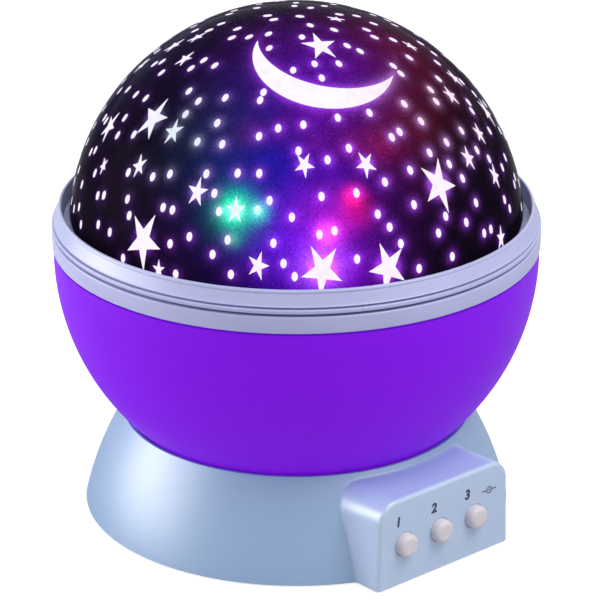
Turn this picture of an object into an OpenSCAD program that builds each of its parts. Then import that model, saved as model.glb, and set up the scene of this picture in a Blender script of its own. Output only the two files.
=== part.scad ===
// Star night light projector: a globe that turns on a bell-shaped base.
// The upper half of the globe is a clear dome over a black layer with star windows.
// The lower half is a coloured bowl, carried by a hub that a small motor turns.
// Millimetres, +Z up. The origin is on the globe's axis, on the surface that the feet rest on.
// The control panel faces -Y.

/* [Globe] */
// Outer radius of the silver ring round the globe
ring_r = 65; // [63:0.5:70]
// How far the bowl stands in from the ring
bowl_inset = 0.3; // [0.1:0.1:1]
// How far the dome stands in from the ring
dome_inset = 4.4; // [4.2:0.1:5]
// Wall of the bowl
bowl_wall = 2; // [1.6:0.1:2.6]
// Height of the straight silver band under the parting line
band_h = 4.6; // [4:0.1:7]
// Height of the bowl's middle below the underside of the band
band_rise = 2.1; // [1.6:0.1:3]
// Height of the tapered ring at the foot of the dome
bezel_h = 6.1; // [5.6:0.1:9]
// Gap between the band and the tapered ring
parting_gap = 0.4; // [0.2:0.1:0.8]
// How far the dome's middle lies below the tapered ring
dome_drop = 2; // [0.5:0.1:3]
// Wall of the clear dome
dome_wall = 1.5; // [1.2:0.1:2]
// Thickness of the black layer inside the dome
mask_t = 0.4; // [0.3:0.1:0.8]

/* [Star pattern] */
// Radius of a dot window, in sixtieths of the dome's radius
dot_size = 0.95; // [0.8:0.05:1.5]
// Number of places for dots over the whole dome
dot_places = 320; // [60:10:360]
// Inner radius of a star as a share of its tip radius
star_waist = 0.36; // [0.3:0.02:0.55]

/* [Base] */
// Radius of the base at its foot
base_r = 57.6; // [57:0.2:64]
// Radius of the base at its upper rim
rim_r = 46.9; // [46.1:0.2:50]
// Outward swell of the bell side
base_swell = 1.2; // [0:0.1:2]
// Wall of the base and its panel
base_wall = 2; // [1.6:0.1:2.4]
// Height of the rim above the deck inside it
rim_lip = 3.3; // [3:0.1:5]
// Height that the rubber feet lift the base
foot_h = 1; // [0.8:0.1:3]
// Radius of a rubber foot
foot_r = 4; // [3:0.5:4.5]
// Distance of a foot's middle from the edge of the base
foot_inset = 8.1; // [7.6:0.1:9.6]
// Thickness of the bottom cover
plate_t = 2; // [2:0.1:2.6]

/* [Control panel] */
// Width of the panel at the floor
panel_w = 47; // [46:0.5:52]
// Amount by which the panel is narrower at its top
panel_draft = 1.6; // [0:0.5:3]
// Sideways place of the panel's middle
panel_shift = -1.5; // [-2:0.1:1]
// Distance of the panel's front face from the axis
panel_out = 60.2; // [59.6:0.2:63]
// Height of the panel's front edge below the base rim
panel_drop = 1.8; // [1.6:0.1:4]
// Radius of the panel's upper corners at the front
panel_corner = 4; // [2:0.5:6]
// Radius of a push button
button_r = 3.25; // [2.8:0.05:3.4]
// How far a button stands out of the panel
button_out = 2.5; // [2:0.1:4]
// Travel of a push button
button_travel = 1.5; // [0.6:0.1:1.6]
// Room between the panel's left end and the first button's middle
button_margin = 9.3; // [8.6:0.1:9.8]
// Room between the last button's middle and the panel's right end, for the power socket
socket_room = 12.7; // [12.5:0.1:13.4]
// Height of the buttons' middle above the floor
button_z = 11.8; // [10.8:0.1:13]

/* [Drive] */
// Module of all the gear teeth
gear_m = 0.8; // [0.76:0.01:0.82]
// Teeth of the turntable gear under the globe
table_teeth = 60; // [56:2:62]
// Teeth of the small wheel of the reduction gear
small_teeth = 12; // [12:1:14]
// Teeth of the large wheel of the reduction gear
large_teeth = 40; // [36:1:40]
// Teeth of the motor pinion
pinion_teeth = 10; // [10:1:12]
// Thickness of the turntable gear
gear_t = 3; // [2:0.1:4]
// Outer radius of the hub that turns in the deck
hub_r = 17; // [15:0.5:18]
// Radius of the motor
motor_r = 10; // [8:0.5:10]
// Height of the motor
motor_h = 9.8; // [7:0.1:11]

/* [Lamp] */
// Outer radius of the lamp post
post_r = 7; // [6.4:0.1:7.4]
// Wall of the lamp post
post_wall = 2; // [1.5:0.1:2.4]
// Radius of one light bead
led_r = 2.5; // [1.5:0.1:2.6]
// Radius of the circle of light beads
led_ring_r = 3.9; // [3.8:0.1:4.2]

/* [Batteries and boards] */
// Radius of a battery cell
cell_r = 5.25; // [5:0.05:5.4]
// Length of a battery cell
cell_len = 44.5; // [42:0.5:45]
// Number of battery cells side by side
cell_count = 4; // [2:1:4]
// Wall of the battery box
tray_wall = 1.5; // [1:0.1:1.8]
// Thickness of the battery door
door_t = 1.6; // [1.2:0.1:1.7]
// Thickness of a circuit board
board_t = 1.6; // [1:0.1:2]
// Radius of a wire with its insulation
wire_r = 0.5; // [0.3:0.05:0.6]
// Radius of the power socket's bore
jack_r = 2.8; // [2.2:0.1:2.9]
// Length of the power socket
jack_len = 5.4; // [5:0.1:5.5]

/* [Fits] */
// Radial running clearance of gears, hub and buttons
run_gap = 0.06; // [0.03:0.01:0.09]
// Clearance between pieces that only lie beside each other
part_gap = 0.3; // [0.2:0.05:0.4]
// Radial clearance of a screw in its pilot hole
screw_gap = 0.05; // [0.02:0.01:0.08]

/* [Hidden] */
$fn = 72;
eps = 0.1;

// Heights inside the base, from the floor up
plate_top = foot_h + plate_t;
tray_top = plate_top + 2 * cell_r + 0.5 + tray_wall;
strap_t = 0.8;
motor_top = plate_top + 0.2 + motor_h;
strap_top = motor_top + 0.05 + strap_t;
large_z = strap_top + part_gap + 0.05;
large_t = 2.5;
small_z = large_z + large_t;
post_flange_t = 2;
table_z = max(small_z + 1.3, tray_top + post_flange_t + 0.5);
table_top = table_z + gear_t;
deck_z = table_top + 0.5;
deck_t = 2;
deck_top = deck_z + deck_t;
base_h = deck_top + rim_lip;
slip_gap = 1;
bowl_floor_z = deck_top + slip_gap;
floor_t = 2;

// Heights of the globe
bowl_r = ring_r - bowl_inset;
dome_r = ring_r - dome_inset;
rim_wall = 1;
seat_gap = 0.3;
seat_r = rim_r - rim_wall - seat_gap;
bowl_cz = base_h + sqrt(bowl_r * bowl_r - seat_r * seat_r);
band_z = bowl_cz + band_rise;
band_top = band_z + band_h;
bezel_z = band_top + parting_gap;
bezel_top = bezel_z + bezel_h;
dome_cz = bezel_z - dome_drop;
dome_in_r = dome_r - dome_wall;
film_gap = 0.2;
mask_r = dome_in_r - film_gap;

// Ring sections
ring_wall = 3.2;
moat_r = dome_r + 1.7;
moat_z = bezel_z + 0.9;
shelf_in_r = mask_r - mask_t - 0.8;
bead_h = 1.4;
lip_taper = ring_r - moat_r - 0.5;
spigot_r = ring_r - ring_wall - part_gap;
spigot_h = 3.4;

// Reflector plate, closing the bowl below the band
plate_z = bowl_cz - 2.7;
plate_thick = 1.5;
plate_r = sqrt(pow(bowl_r - bowl_wall, 2) - pow(bowl_cz - plate_z + plate_thick, 2)) - part_gap;
plate_post_r = 3;
plate_post_place = bowl_r * 0.77;
post_angles = [45, 135, 225, 315];

// Hub and lamp post
hub_bore_r = post_r + 1.2;
hub_screw_place = (hub_r + hub_bore_r) / 2;
hub_angles = [90, 210, 330];
screw_r = 1.25;
screw_head_r = 2.6;
screw_head_h = 1;
pilot_r = screw_r + screw_gap;

// Gear train
addendum = 0.6;
dedendum = 0.9;
backlash = 0.12;
pressure = 20;
table_pitch_r = table_teeth * gear_m / 2;
mesh_gap = 0.05;
idler_place = table_pitch_r + small_teeth * gear_m / 2 + mesh_gap;
idler_dir = 245.4;
idler_x = idler_place * cos(idler_dir);
idler_y = idler_place * sin(idler_dir);
motor_place = (large_teeth + pinion_teeth) * gear_m / 2 + mesh_gap;
motor_dir = 160;
motor_x = idler_x + motor_place * cos(motor_dir);
motor_y = idler_y + motor_place * sin(motor_dir);
axle_r = 1.5;
shaft_r = 1;
pinion_t = 3.2;
pinion_z = large_z - 0.3;
strap_reach = motor_r + 3;
strap_w = 7;
cradle_wall = 1.5;
cradle_h = 5;

// Battery box, behind the middle of the base
cell_pitch = 2 * cell_r + 0.3;
tray_in_w = cell_count * cell_pitch + 0.8;
contact_t = 0.4;
spring_len = 1.5;
contact_gap = 0.1;
tray_in_len = cell_len + spring_len + 2 * (contact_t + contact_gap);
tray_y = -6.5;
cell_z = plate_top + 0.25 + cell_r;
door_ledge = 0.6;
door_gap = 0.2;
lug_w = 10;
lug_len = 9;
lug_screw_out = 5;
lug_pad_t = 1.5;
door_boss_r = 3;
door_boss_h = 6;

// Base shell
shell_z = 0.6;
boss_place = base_r - 13.8;
boss_angles = [45, 135, 186, 350];
boss_r = 2.8;
foot_place = base_r - foot_inset;
foot_angles = [52, 128, 225, 315];
foot_recess = 1;
panel_top = base_h - panel_drop;
panel_edge = 1;
panel_back = rim_r - 7;
panel_back_corner = 9;
button_pitch = (panel_w - button_margin - socket_room) / 2;
button_shift = panel_shift - panel_w / 2 + button_margin + button_pitch;
panel_in = panel_out - base_wall;
guide_r = button_r + run_gap;
flange_r = button_r + 0.95;
flange_t = 1.2;
stem_r = 1.4;
switch_size = 6;
switch_depth = 4;
switch_y = -(panel_in - flange_t - button_travel - 0.6);
switch_back = switch_y + switch_depth;
switch_wall = 1;
button_board_y = switch_back + 0.05;
button_board_z = plate_top + 1;
button_board_h = 15;
button_board_right = button_shift + button_pitch + switch_size / 2 + 0.2;
button_board_left = panel_shift - panel_w / 2 + base_wall + 1.6;
stud_r = 1.5;
stud_z = button_z + 6.5;
stud_xs = [button_shift - 0.6 * button_pitch, button_shift + 0.6 * button_pitch];

// Power socket in the panel's right side
jack_w = 7.4;
jack_h = 7;
jack_pin_r = 1;
jack_nose_r = 3.5;
jack_y = -(panel_in - 0.4 - jack_w / 2);
jack_z = plate_top + 6;
jack_x = panel_shift + panel_w / 2 - base_wall - 0.6;

// Main board, in the front right of the base
board_x = 8;
board_w = 27;
board_y = -36;
board_d = 21;
board_z = plate_top + 2;
board_holes = [[board_x + 2.6, board_y + 2.6], [board_x + board_w - 2.6, board_y + board_d - 2.6]];

// Lamp on the post
post_top = plate_z - 0.2;
led_board_r = post_r - 0.1;
collar_t = 3;
led_h = 8.4;
led_top = post_top + board_t + led_h;

// Main windows of the dome: [azimuth, elevation, tip radius, tilt]
// A tip radius is counted in sixtieths of the dome's radius
window_unit = dome_r / 60;
near_stars = [
    [-111, 73, 5.6, 32], [-40, 80, 2.2, 15], [138, 64, 2.6, 54], [157, 59, 2.8, 48], [132, 57, 3, 55],
    [172, 42, 5.8, 37], [-176, 41, 3.4, 53], [150, 33, 4.2, 30], [160, 25, 2.2, 5],
    [-174, 13, 7.2, 12], [-168, 7, 2.4, 40], [-160, 28, 3.6, 36], [-148, 25, 3.3, 39],
    [-141, 12, 3.5, 20], [-129, 37, 3.2, 6], [-110, 36, 3.4, 62], [-125, 11, 6.6, 66],
    [-108, 10, 6.4, 56], [-88, 27, 6.8, 6], [-59, 45, 2.9, 10], [-43, 60, 2.2, 32],
    [-43, 46, 2.8, 65], [-59, 33, 2.9, 5], [-72, 30, 3.1, 12], [-62, 22, 3.1, 6],
    [-67, 7, 3, 25], [177, 30, 3, 62]
];
// The far side repeats the lower stars, turned by a round angle
far_turn = 170;
far_limit = 50;
far_stars = [
    for (s = near_stars)
        if (s[1] < far_limit) [s[0] + far_turn, s[1], s[2], s[3] + 30]
];
top_stars = [[60, 66, 3.2, 10], [15, 61, 2.6, 30], [95, 55, 2.4, 50]];
stars = concat(near_stars, far_stars, top_stars);
// Crescent: the outer circle less the inner circle, [azimuth, elevation, angular radius]
moon_outer = [-111.3, 69.4, 17.9];
moon_inner = [-95.8, 74.9, 18.4];

function heading(az, el) = [cos(el) * cos(az), cos(el) * sin(az), sin(el)];
function apart(a, b) = acos(min(1, max(-1, a * b)));
function units_deg(n) = n / 60 * 180 / PI;

// Dots lie on a golden-angle spiral, each pushed a little by a fixed wave
golden = 137.508;
lowest_dot = 5;
dot_jitter = 2.2;
function dot_el(i) =
    asin(sin(lowest_dot) + (1 - sin(lowest_dot)) * (i + 0.5) / dot_places)
    + dot_jitter * sin(i * 97.3);
function dot_az(i) = i * golden + dot_jitter * cos(i * 61.7) / max(0.2, cos(dot_el(i)));
function clear_of_stars(h) =
    len([for (s = stars) if (apart(h, heading(s[0], s[1])) < units_deg(s[2] * 0.8 + dot_size + 0.5)) 1]) == 0;
function clear_of_moon(h) =
    apart(h, heading(moon_outer[0], moon_outer[1])) > moon_outer[2] + units_deg(dot_size + 0.6)
    || apart(h, heading(moon_inner[0], moon_inner[1])) < moon_inner[2] - units_deg(dot_size + 0.6);
dots = [
    for (i = [0 : dot_places - 1])
        let (el = dot_el(i), az = dot_az(i), h = heading(az, el))
            if (el > lowest_dot && clear_of_stars(h) && clear_of_moon(h)) [az, el]
];

// Bell side of the base: radius at a share t of the height
function bell_r(t) = base_r + (rim_r - base_r) * t + base_swell * 4 * t * (1 - t);
function bell_at(z) = bell_r((z - shell_z) / (base_h - shell_z));
bell_steps = 12;
plate_outer_r = bell_at(plate_top) - base_wall - 0.2;

// Involute of a circle of radius rb at radius r: polar angle in degrees
function inv_deg(rb, r) = let (a = acos(min(1, rb / r))) (tan(a) * 180 / PI - a);
function tooth_half(teeth, r) =
    let (rp = teeth * gear_m / 2, rb = rp * cos(pressure))
        (90 / teeth - backlash / rp * 90 / PI) + inv_deg(rb, rp) - inv_deg(rb, max(rb, r));

flank_steps = 5;
function flank_radii(teeth) =
    let (
        rp = teeth * gear_m / 2,
        rb = rp * cos(pressure),
        low = max(rb, rp - dedendum * gear_m),
        high = rp + addendum * gear_m
    )
        [for (i = [0 : flank_steps]) low + (high - low) * i / flank_steps];

// Outline of a spur gear with one tooth centred on +X
module gear_outline(teeth) {
    rp = teeth * gear_m / 2;
    root = rp - dedendum * gear_m;
    radii = flank_radii(teeth);
    top = len(radii) - 1;
    polygon([
        for (k = [0 : teeth - 1])
            let (a = k * 360 / teeth, foot = tooth_half(teeth, radii[0]))
                each concat(
                    [root * [cos(a - foot), sin(a - foot)]],
                    [for (i = [0 : top]) radii[i] * [
                        cos(a - tooth_half(teeth, radii[i])), sin(a - tooth_half(teeth, radii[i]))
                    ]],
                    [for (i = [top : -1 : 0]) radii[i] * [
                        cos(a + tooth_half(teeth, radii[i])), sin(a + tooth_half(teeth, radii[i]))
                    ]],
                    [root * [cos(a + foot), sin(a + foot)]]
                )
    ]);
}

// Turn of a driven gear so that its tooth gap meets a tooth of the other gear
function mesh_turn(dir, phase, teeth_a, teeth_b) =
    dir + 180 + 180 / teeth_b - (phase - dir) * teeth_a / teeth_b;
small_turn = mesh_turn(idler_dir, 0, table_teeth, small_teeth);
pinion_turn = mesh_turn(motor_dir, 0, large_teeth, pinion_teeth);

module at_angles(angles, place) {
    for (a = angles)
        translate([place * cos(a), place * sin(a), 0]) children();
}

module screw(z, length) {
    translate([0, 0, z - screw_head_h]) cylinder(r = screw_head_r, h = screw_head_h);
    translate([0, 0, z - eps]) cylinder(r = screw_r, h = length + eps);
}

module on_dome(az, el) {
    translate([0, 0, dome_cz]) rotate([0, 90 - el, az]) children();
}

module star_shape(r) {
    polygon([for (i = [0 : 9]) (i % 2 == 0 ? r : r * star_waist) * [cos(i * 36), sin(i * 36)]]);
}

// Rounds the corners of a route: each inner point becomes a short curve
bend_share = 0.35;
bend_reach = 2.5;
bend_steps = 3;
function toward(b, a) = b + (a - b) * min(bend_share, bend_reach / norm(a - b));
function bend(a, b, c) = [
    for (k = [0 : bend_steps])
        let (t = k / bend_steps)
            toward(b, a) * (1 - t) * (1 - t) + b * 2 * t * (1 - t) + toward(b, c) * t * t
];
function rounded_route(p) = concat(
    [p[0]],
    [for (i = [1 : len(p) - 2]) each bend(p[i - 1], p[i], p[i + 1])],
    [p[len(p) - 1]]
);
function unit(v) = v / norm(v);
function heading_at(p, i) = unit(p[min(i + 1, len(p) - 1)] - p[max(i - 1, 0)]);

// Round wire as one tube swept along its route
wire_sides = 8;
wire_pitch = 3 * wire_r + 0.1;
wire_side_ref = [0.9, 0.3, 0.2];
module wire(points) {
    p = rounded_route(points);
    last = len(p) - 1;
    n = wire_sides;
    rings = [
        for (i = [0 : last])
            let (d = heading_at(p, i), u = unit(cross(d, wire_side_ref)), v = cross(d, u))
                for (k = [0 : n - 1]) p[i] + wire_r * (u * cos(k * 360 / n) + v * sin(k * 360 / n))
    ];
    sides = [
        for (i = [0 : last - 1])
            for (k = [0 : n - 1])
                let (a = i * n + k, b = i * n + (k + 1) % n)
                    each [[a, b, b + n], [a, b + n, a + n]]
    ];
    polyhedron(rings, concat([[for (k = [n - 1 : -1 : 0]) k]], sides, [[for (k = [0 : n - 1]) last * n + k]]));
}

// Hollow part-sphere with its middle at the origin, between two heights
module bowl_section(r_out, r_in, z_low, z_high) {
    intersection() {
        difference() {
            circle(r = r_out, $fn = 180);
            circle(r = r_in, $fn = 180);
        }
        translate([0, z_low]) square([r_out + 1, z_high - z_low]);
    }
}

// ---------- Cover: dome, black layer and tapered ring ----------

module star_dome() {
    foot_z = moat_z + 0.05 - dome_cz;
    color([0.75, 0.78, 0.9, 0.35]) translate([0, 0, dome_cz]) rotate_extrude($fn = 180) {
        bowl_section(dome_r, dome_in_r, foot_z, dome_r + 1);
        translate([dome_in_r + 0.2, foot_z]) square([moat_r - dome_in_r - 0.6, 1]);
    }
}

module star_mask() {
    color([0.08, 0.05, 0.1]) difference() {
        translate([0, 0, dome_cz]) rotate_extrude($fn = 180)
            bowl_section(mask_r, mask_r - mask_t, moat_z + 0.1 - dome_cz, mask_r + 1);
        for (s = stars)
            on_dome(s[0], s[1]) translate([0, 0, mask_r - mask_t - 1.2])
                rotate([0, 0, s[3]]) linear_extrude(mask_t + 2) star_shape(s[2] * window_unit);
        for (d = dots)
            on_dome(d[0], d[1]) translate([0, 0, mask_r - mask_t - 1])
                cylinder(r = dot_size * window_unit, h = mask_t + 2, $fn = 24);
        difference() {
            on_dome(moon_outer[0], moon_outer[1])
                cylinder(r1 = 0, r2 = (mask_r + 2) * tan(moon_outer[2]), h = mask_r + 2);
            on_dome(moon_inner[0], moon_inner[1])
                cylinder(r1 = 0, r2 = (mask_r + 9) * tan(moon_inner[2]), h = mask_r + 9);
        }
    }
}

module dome_bezel() {
    color([0.66, 0.67, 0.83]) rotate_extrude($fn = 180) {
        difference() {
            polygon([
                [shelf_in_r, bezel_z], [ring_r - 0.15, bezel_z], [ring_r, bezel_z + 0.15],
                [ring_r, bezel_z + bead_h - 0.15], [ring_r - 0.15, bezel_z + bead_h],
                [ring_r - 0.35, bezel_z + bead_h + 0.15], [ring_r - 0.15, bezel_z + bead_h + 0.4],
                [ring_r - 0.6, bezel_z + bead_h + 1], [ring_r - 0.72 * lip_taper, bezel_z + bezel_h * 0.6],
                [ring_r - lip_taper, bezel_top - 0.5], [ring_r - lip_taper - 0.15, bezel_top - 0.1],
                [ring_r - lip_taper - 0.3, bezel_top], [moat_r + 0.1, bezel_top],
                [moat_r, bezel_top - 0.2], [moat_r, moat_z], [shelf_in_r, moat_z]
            ]);
        }
        translate([spigot_r - 2, bezel_z - spigot_h]) square([2, spigot_h + eps]);
    }
}

// ---------- Globe: bowl, band, reflector, hub ----------

module bowl_rim() {
    skirt_r = bowl_r - bowl_wall - 0.25;
    color([0.66, 0.67, 0.83]) rotate_extrude($fn = 180) {
        polygon([
            [ring_r - ring_wall, band_z], [ring_r - 0.2, band_z], [ring_r, band_z + 0.2],
            [ring_r, band_top - 0.2], [ring_r - 0.2, band_top], [ring_r - ring_wall, band_top]
        ]);
        translate([ring_r - ring_wall, band_z - 3.4]) square([skirt_r - ring_r + ring_wall, 3.4 + eps]);
    }
}

module bowl() {
    low = bowl_floor_z - bowl_cz;
    high = band_z - 0.3 - bowl_cz;
    color([0.48, 0.11, 0.87]) difference() {
        union() {
            translate([0, 0, bowl_cz]) rotate_extrude($fn = 180) {
                bowl_section(bowl_r, bowl_r - bowl_wall, low, high);
                intersection() {
                    circle(r = bowl_r - 0.5, $fn = 180);
                    translate([0, low]) square([bowl_r, floor_t]);
                }
            }
            intersection() {
                at_angles(post_angles, plate_post_place)
                    translate([0, 0, bowl_floor_z]) cylinder(r = plate_post_r,
                        h = plate_z - plate_thick - 0.05 - bowl_floor_z);
                translate([0, 0, bowl_cz]) sphere(r = bowl_r - 1, $fn = 180);
            }
        }
        translate([0, 0, bowl_floor_z - 1]) cylinder(r = hub_bore_r, h = floor_t + 2);
        at_angles(hub_angles, hub_screw_place)
            translate([0, 0, bowl_floor_z - 1]) cylinder(r = screw_r + 0.3, h = floor_t + 2);
        at_angles(post_angles, plate_post_place)
            translate([0, 0, plate_z - plate_thick - 8]) cylinder(r = pilot_r, h = 9);
    }
}

module reflector_plate() {
    color([0.93, 0.93, 0.95]) difference() {
        translate([0, 0, plate_z - plate_thick]) cylinder(r = plate_r, h = plate_thick, $fn = 180);
        translate([0, 0, plate_z - plate_thick - 1]) cylinder(r = post_r + 1.5, h = plate_thick + 2);
        at_angles(post_angles, plate_post_place)
            translate([0, 0, plate_z - plate_thick - 1]) cylinder(r = screw_r + 0.3, h = plate_thick + 2);
    }
}

module plate_screws() {
    color([0.7, 0.7, 0.72]) at_angles(post_angles, plate_post_place)
        translate([0, 0, plate_z + 0.02]) mirror([0, 0, 1]) screw(0, 7);
}

module turntable_gear() {
    color([0.9, 0.9, 0.88]) difference() {
        union() {
            translate([0, 0, table_z]) linear_extrude(gear_t) gear_outline(table_teeth);
            translate([0, 0, table_z]) cylinder(r = hub_r, h = bowl_floor_z - 0.02 - table_z);
        }
        translate([0, 0, table_z - 1]) cylinder(r = hub_bore_r, h = bowl_floor_z - table_z + 2);
        at_angles(hub_angles, hub_screw_place)
            translate([0, 0, bowl_floor_z - 5.5]) cylinder(r = pilot_r, h = 7);
    }
}

module hub_screws() {
    color([0.7, 0.7, 0.72]) at_angles(hub_angles, hub_screw_place)
        translate([0, 0, bowl_floor_z + floor_t + 0.02]) mirror([0, 0, 1]) screw(0, floor_t + 5);
}

// ---------- Drive in the base ----------

module thrust_ring() {
    color([0.95, 0.95, 0.92]) translate([0, 0, deck_top]) difference() {
        cylinder(r = seat_r - 10, h = slip_gap - 0.05);
        translate([0, 0, -1]) cylinder(r = seat_r - 16, h = slip_gap + 2);
    }
}

module reduction_gear() {
    color([0.92, 0.9, 0.82]) translate([idler_x, idler_y, 0]) difference() {
        union() {
            translate([0, 0, large_z]) linear_extrude(large_t) gear_outline(large_teeth);
            translate([0, 0, small_z - eps]) rotate([0, 0, small_turn])
                linear_extrude(table_top - small_z + eps) gear_outline(small_teeth);
        }
        translate([0, 0, large_z - 1]) cylinder(r = axle_r + run_gap, h = table_top - large_z + 2);
    }
}

module gear_axle() {
    color([0.75, 0.76, 0.78]) translate([idler_x, idler_y, plate_top + 4.1])
        cylinder(r = axle_r, h = deck_z + 1 - plate_top - 4.1);
}

module motor_pinion() {
    color([0.92, 0.9, 0.82]) translate([motor_x, motor_y, pinion_z]) difference() {
        rotate([0, 0, pinion_turn]) linear_extrude(pinion_t) gear_outline(pinion_teeth);
        translate([0, 0, -1]) cylinder(r = shaft_r + 0.01, h = pinion_t + 2);
    }
}

module motor_shaft() {
    color([0.75, 0.76, 0.78]) translate([motor_x, motor_y, motor_top - 4])
        cylinder(r = shaft_r, h = pinion_z + pinion_t + 0.3 - motor_top + 4);
}

module drive_motor() {
    color([0.72, 0.73, 0.75]) translate([motor_x, motor_y, plate_top + 0.1]) difference() {
        cylinder(r = motor_r, h = motor_h + 0.1);
        translate([0, 0, motor_h + 0.1 - 4.2]) cylinder(r = shaft_r + run_gap, h = 5);
    }
}

module at_strap_ends() {
    for (s = [-1, 1]) translate([motor_x, motor_y + s * strap_reach, 0]) children();
}

module motor_strap() {
    color([0.75, 0.76, 0.78]) difference() {
        union() {
            translate([motor_x - strap_w / 2, motor_y - strap_reach, motor_top + 0.05])
                cube([strap_w, 2 * strap_reach, strap_t]);
            at_strap_ends() translate([0, 0, motor_top + 0.05]) cylinder(r = 2.4, h = strap_t);
        }
        translate([motor_x, motor_y, motor_top - 1]) cylinder(r = 3, h = 3);
        at_strap_ends() translate([0, 0, motor_top - 1]) cylinder(r = screw_r + 0.2, h = 3);
    }
}

module strap_screws() {
    color([0.7, 0.7, 0.72]) at_strap_ends()
        translate([0, 0, strap_top + 0.02]) mirror([0, 0, 1]) screw(0, 6);
}

// ---------- Lamp ----------

module led_post() {
    exit_w = 8;
    color([0.93, 0.93, 0.95]) difference() {
        union() {
            translate([0, 0, tray_top + 0.02]) cylinder(r = hub_bore_r - 0.2, h = post_flange_t);
            translate([0, 0, tray_top + 0.02]) cylinder(r = post_r, h = post_top - tray_top - 0.02);
        }
        translate([0, 0, tray_top - 1]) cylinder(r = post_r - post_wall, h = post_top - tray_top + 3);
        translate([-1, -hub_bore_r - 1, tray_top - 1])
            cube([exit_w, hub_bore_r + 1, post_flange_t + 1 - 0.1]);
    }
}

module led_board() {
    color([0.9, 0.92, 0.9]) translate([0, 0, post_top + 0.02])
        cylinder(r = led_board_r, h = board_t - 0.04);
}

module leds() {
    color([0.95, 0.95, 0.98]) at_angles([0, 90, 180, 270], led_ring_r) {
        translate([0, 0, post_top + board_t]) cylinder(r = led_r, h = led_h - led_r);
        translate([0, 0, led_top - led_r]) intersection() {
            sphere(r = led_r);
            translate([-led_r, -led_r, -eps]) cube([2 * led_r, 2 * led_r, led_r + 1]);
        }
    }
}

module led_collar() {
    color([0.95, 0.95, 0.96]) difference() {
        translate([0, 0, post_top + board_t + 0.02]) cylinder(r = post_r, h = collar_t);
        at_angles([0, 90, 180, 270], led_ring_r)
            translate([0, 0, post_top]) cylinder(r = led_r + 0.1, h = collar_t + board_t + 2);
    }
}

// ---------- Base shell, with the control panel moulded on ----------

module bell_body(inset, low, high) {
    rotate_extrude($fn = 180) polygon(concat(
        [[0, low]],
        [for (i = [0 : bell_steps])
            let (z = low + (high - low) * i / bell_steps) [bell_at(z) - inset, z]],
        [[0, high]]
    ));
}

module panel_slice(y, top, corner, inset) {
    half_low = panel_w / 2 - inset;
    half_high = half_low - panel_draft / 2;
    translate([panel_shift, y, 0]) rotate([90, 0, 0]) linear_extrude(0.01) hull() {
        for (s = [-1, 1]) {
            translate([s * (half_high - corner), top - corner]) circle(r = corner, $fn = 32);
            translate([s * half_low - (s > 0 ? 0.1 : 0), shell_z]) square([0.1, 0.1]);
        }
    }
}

module panel_body() {
    hull() {
        panel_slice(-panel_out + 0.01, panel_top - panel_edge, panel_corner, panel_edge * 0.8);
        panel_slice(-panel_out + panel_edge * 0.35, panel_top - panel_edge * 0.3, panel_corner, panel_edge * 0.2);
        panel_slice(-panel_out + panel_edge, panel_top, panel_corner, 0);
        panel_slice(-rim_r + 1, base_h - 0.4, panel_back_corner, 0);
        panel_slice(-panel_back, base_h - 0.3, panel_back_corner, 0);
    }
}

// Space inside the panel box, open to the bell behind it
module panel_section(inset) {
    half_low = (panel_w - panel_draft) / 2 - base_wall + 0.8 - inset;
    half_high = half_low - panel_back_corner;
    top = deck_z - inset;
    knee = top - panel_back_corner - 1;
    translate([panel_shift, 0]) polygon([
        [-half_low, shell_z - 1], [half_low, shell_z - 1], [half_low, knee],
        [half_high, top], [-half_high, top], [-half_low, knee]
    ]);
}

module panel_hollow() {
    translate([0, -panel_back + 4, 0]) rotate([90, 0, 0])
        linear_extrude(panel_in - panel_back + 4) panel_section(0);
}

module at_buttons() {
    for (i = [-1, 0, 1]) translate([button_shift + i * button_pitch, 0, button_z]) children();
}

module at_studs() {
    for (x = stud_xs) translate([x, 0, stud_z]) rotate([-90, 0, 0]) children();
}

module base_shell() {
    color([0.62, 0.71, 0.83]) difference() {
        union() {
            difference() {
                union() {
                    bell_body(0, shell_z, base_h);
                    panel_body();
                }
                bell_body(base_wall, shell_z - 1, deck_z);
                panel_hollow();
                translate([0, 0, deck_top]) cylinder(r = rim_r - rim_wall, h = base_h, $fn = 180);
            }
            at_angles(boss_angles, boss_place)
                translate([0, 0, plate_top + 0.1]) cylinder(r = boss_r, h = deck_z - plate_top);
            translate([idler_x, idler_y, table_top + 0.1]) cylinder(r = 3.2, h = deck_z - table_top);
            at_studs() translate([0, 0, -panel_in - 0.5])
                cylinder(r = stud_r, h = panel_in + 0.5 + button_board_y - 0.02);
        }
        translate([0, 0, deck_z - 1]) cylinder(r = hub_r + run_gap, h = deck_t + 2);
        translate([idler_x, idler_y, table_top]) cylinder(r = axle_r + screw_gap, h = deck_z - table_top + 1.1);
        at_angles(boss_angles, boss_place)
            translate([0, 0, plate_top - 1]) cylinder(r = pilot_r, h = 12);
        at_buttons() rotate([90, 0, 0]) translate([0, 0, panel_in - 1]) cylinder(r = guide_r, h = base_wall + 2);
        at_studs() translate([0, 0, button_board_y - 4]) cylinder(r = 0.75 + screw_gap, h = 5);
        translate([jack_x - 1, jack_y, jack_z]) rotate([0, 90, 0])
            cylinder(r = jack_nose_r + 0.2, h = base_wall + 6);
    }
}

// ---------- Bottom cover with battery box, and what it carries ----------

module tray_place() {
    translate([0, tray_y, 0]) children();
}

module battery_box() {
    out_w = tray_in_w + 2 * tray_wall;
    out_len = tray_in_len + 2 * tray_wall;
    tray_place() translate([-out_w / 2, -tray_wall, plate_top - eps])
        cube([out_w, out_len, tray_top - plate_top + eps]);
}

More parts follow.
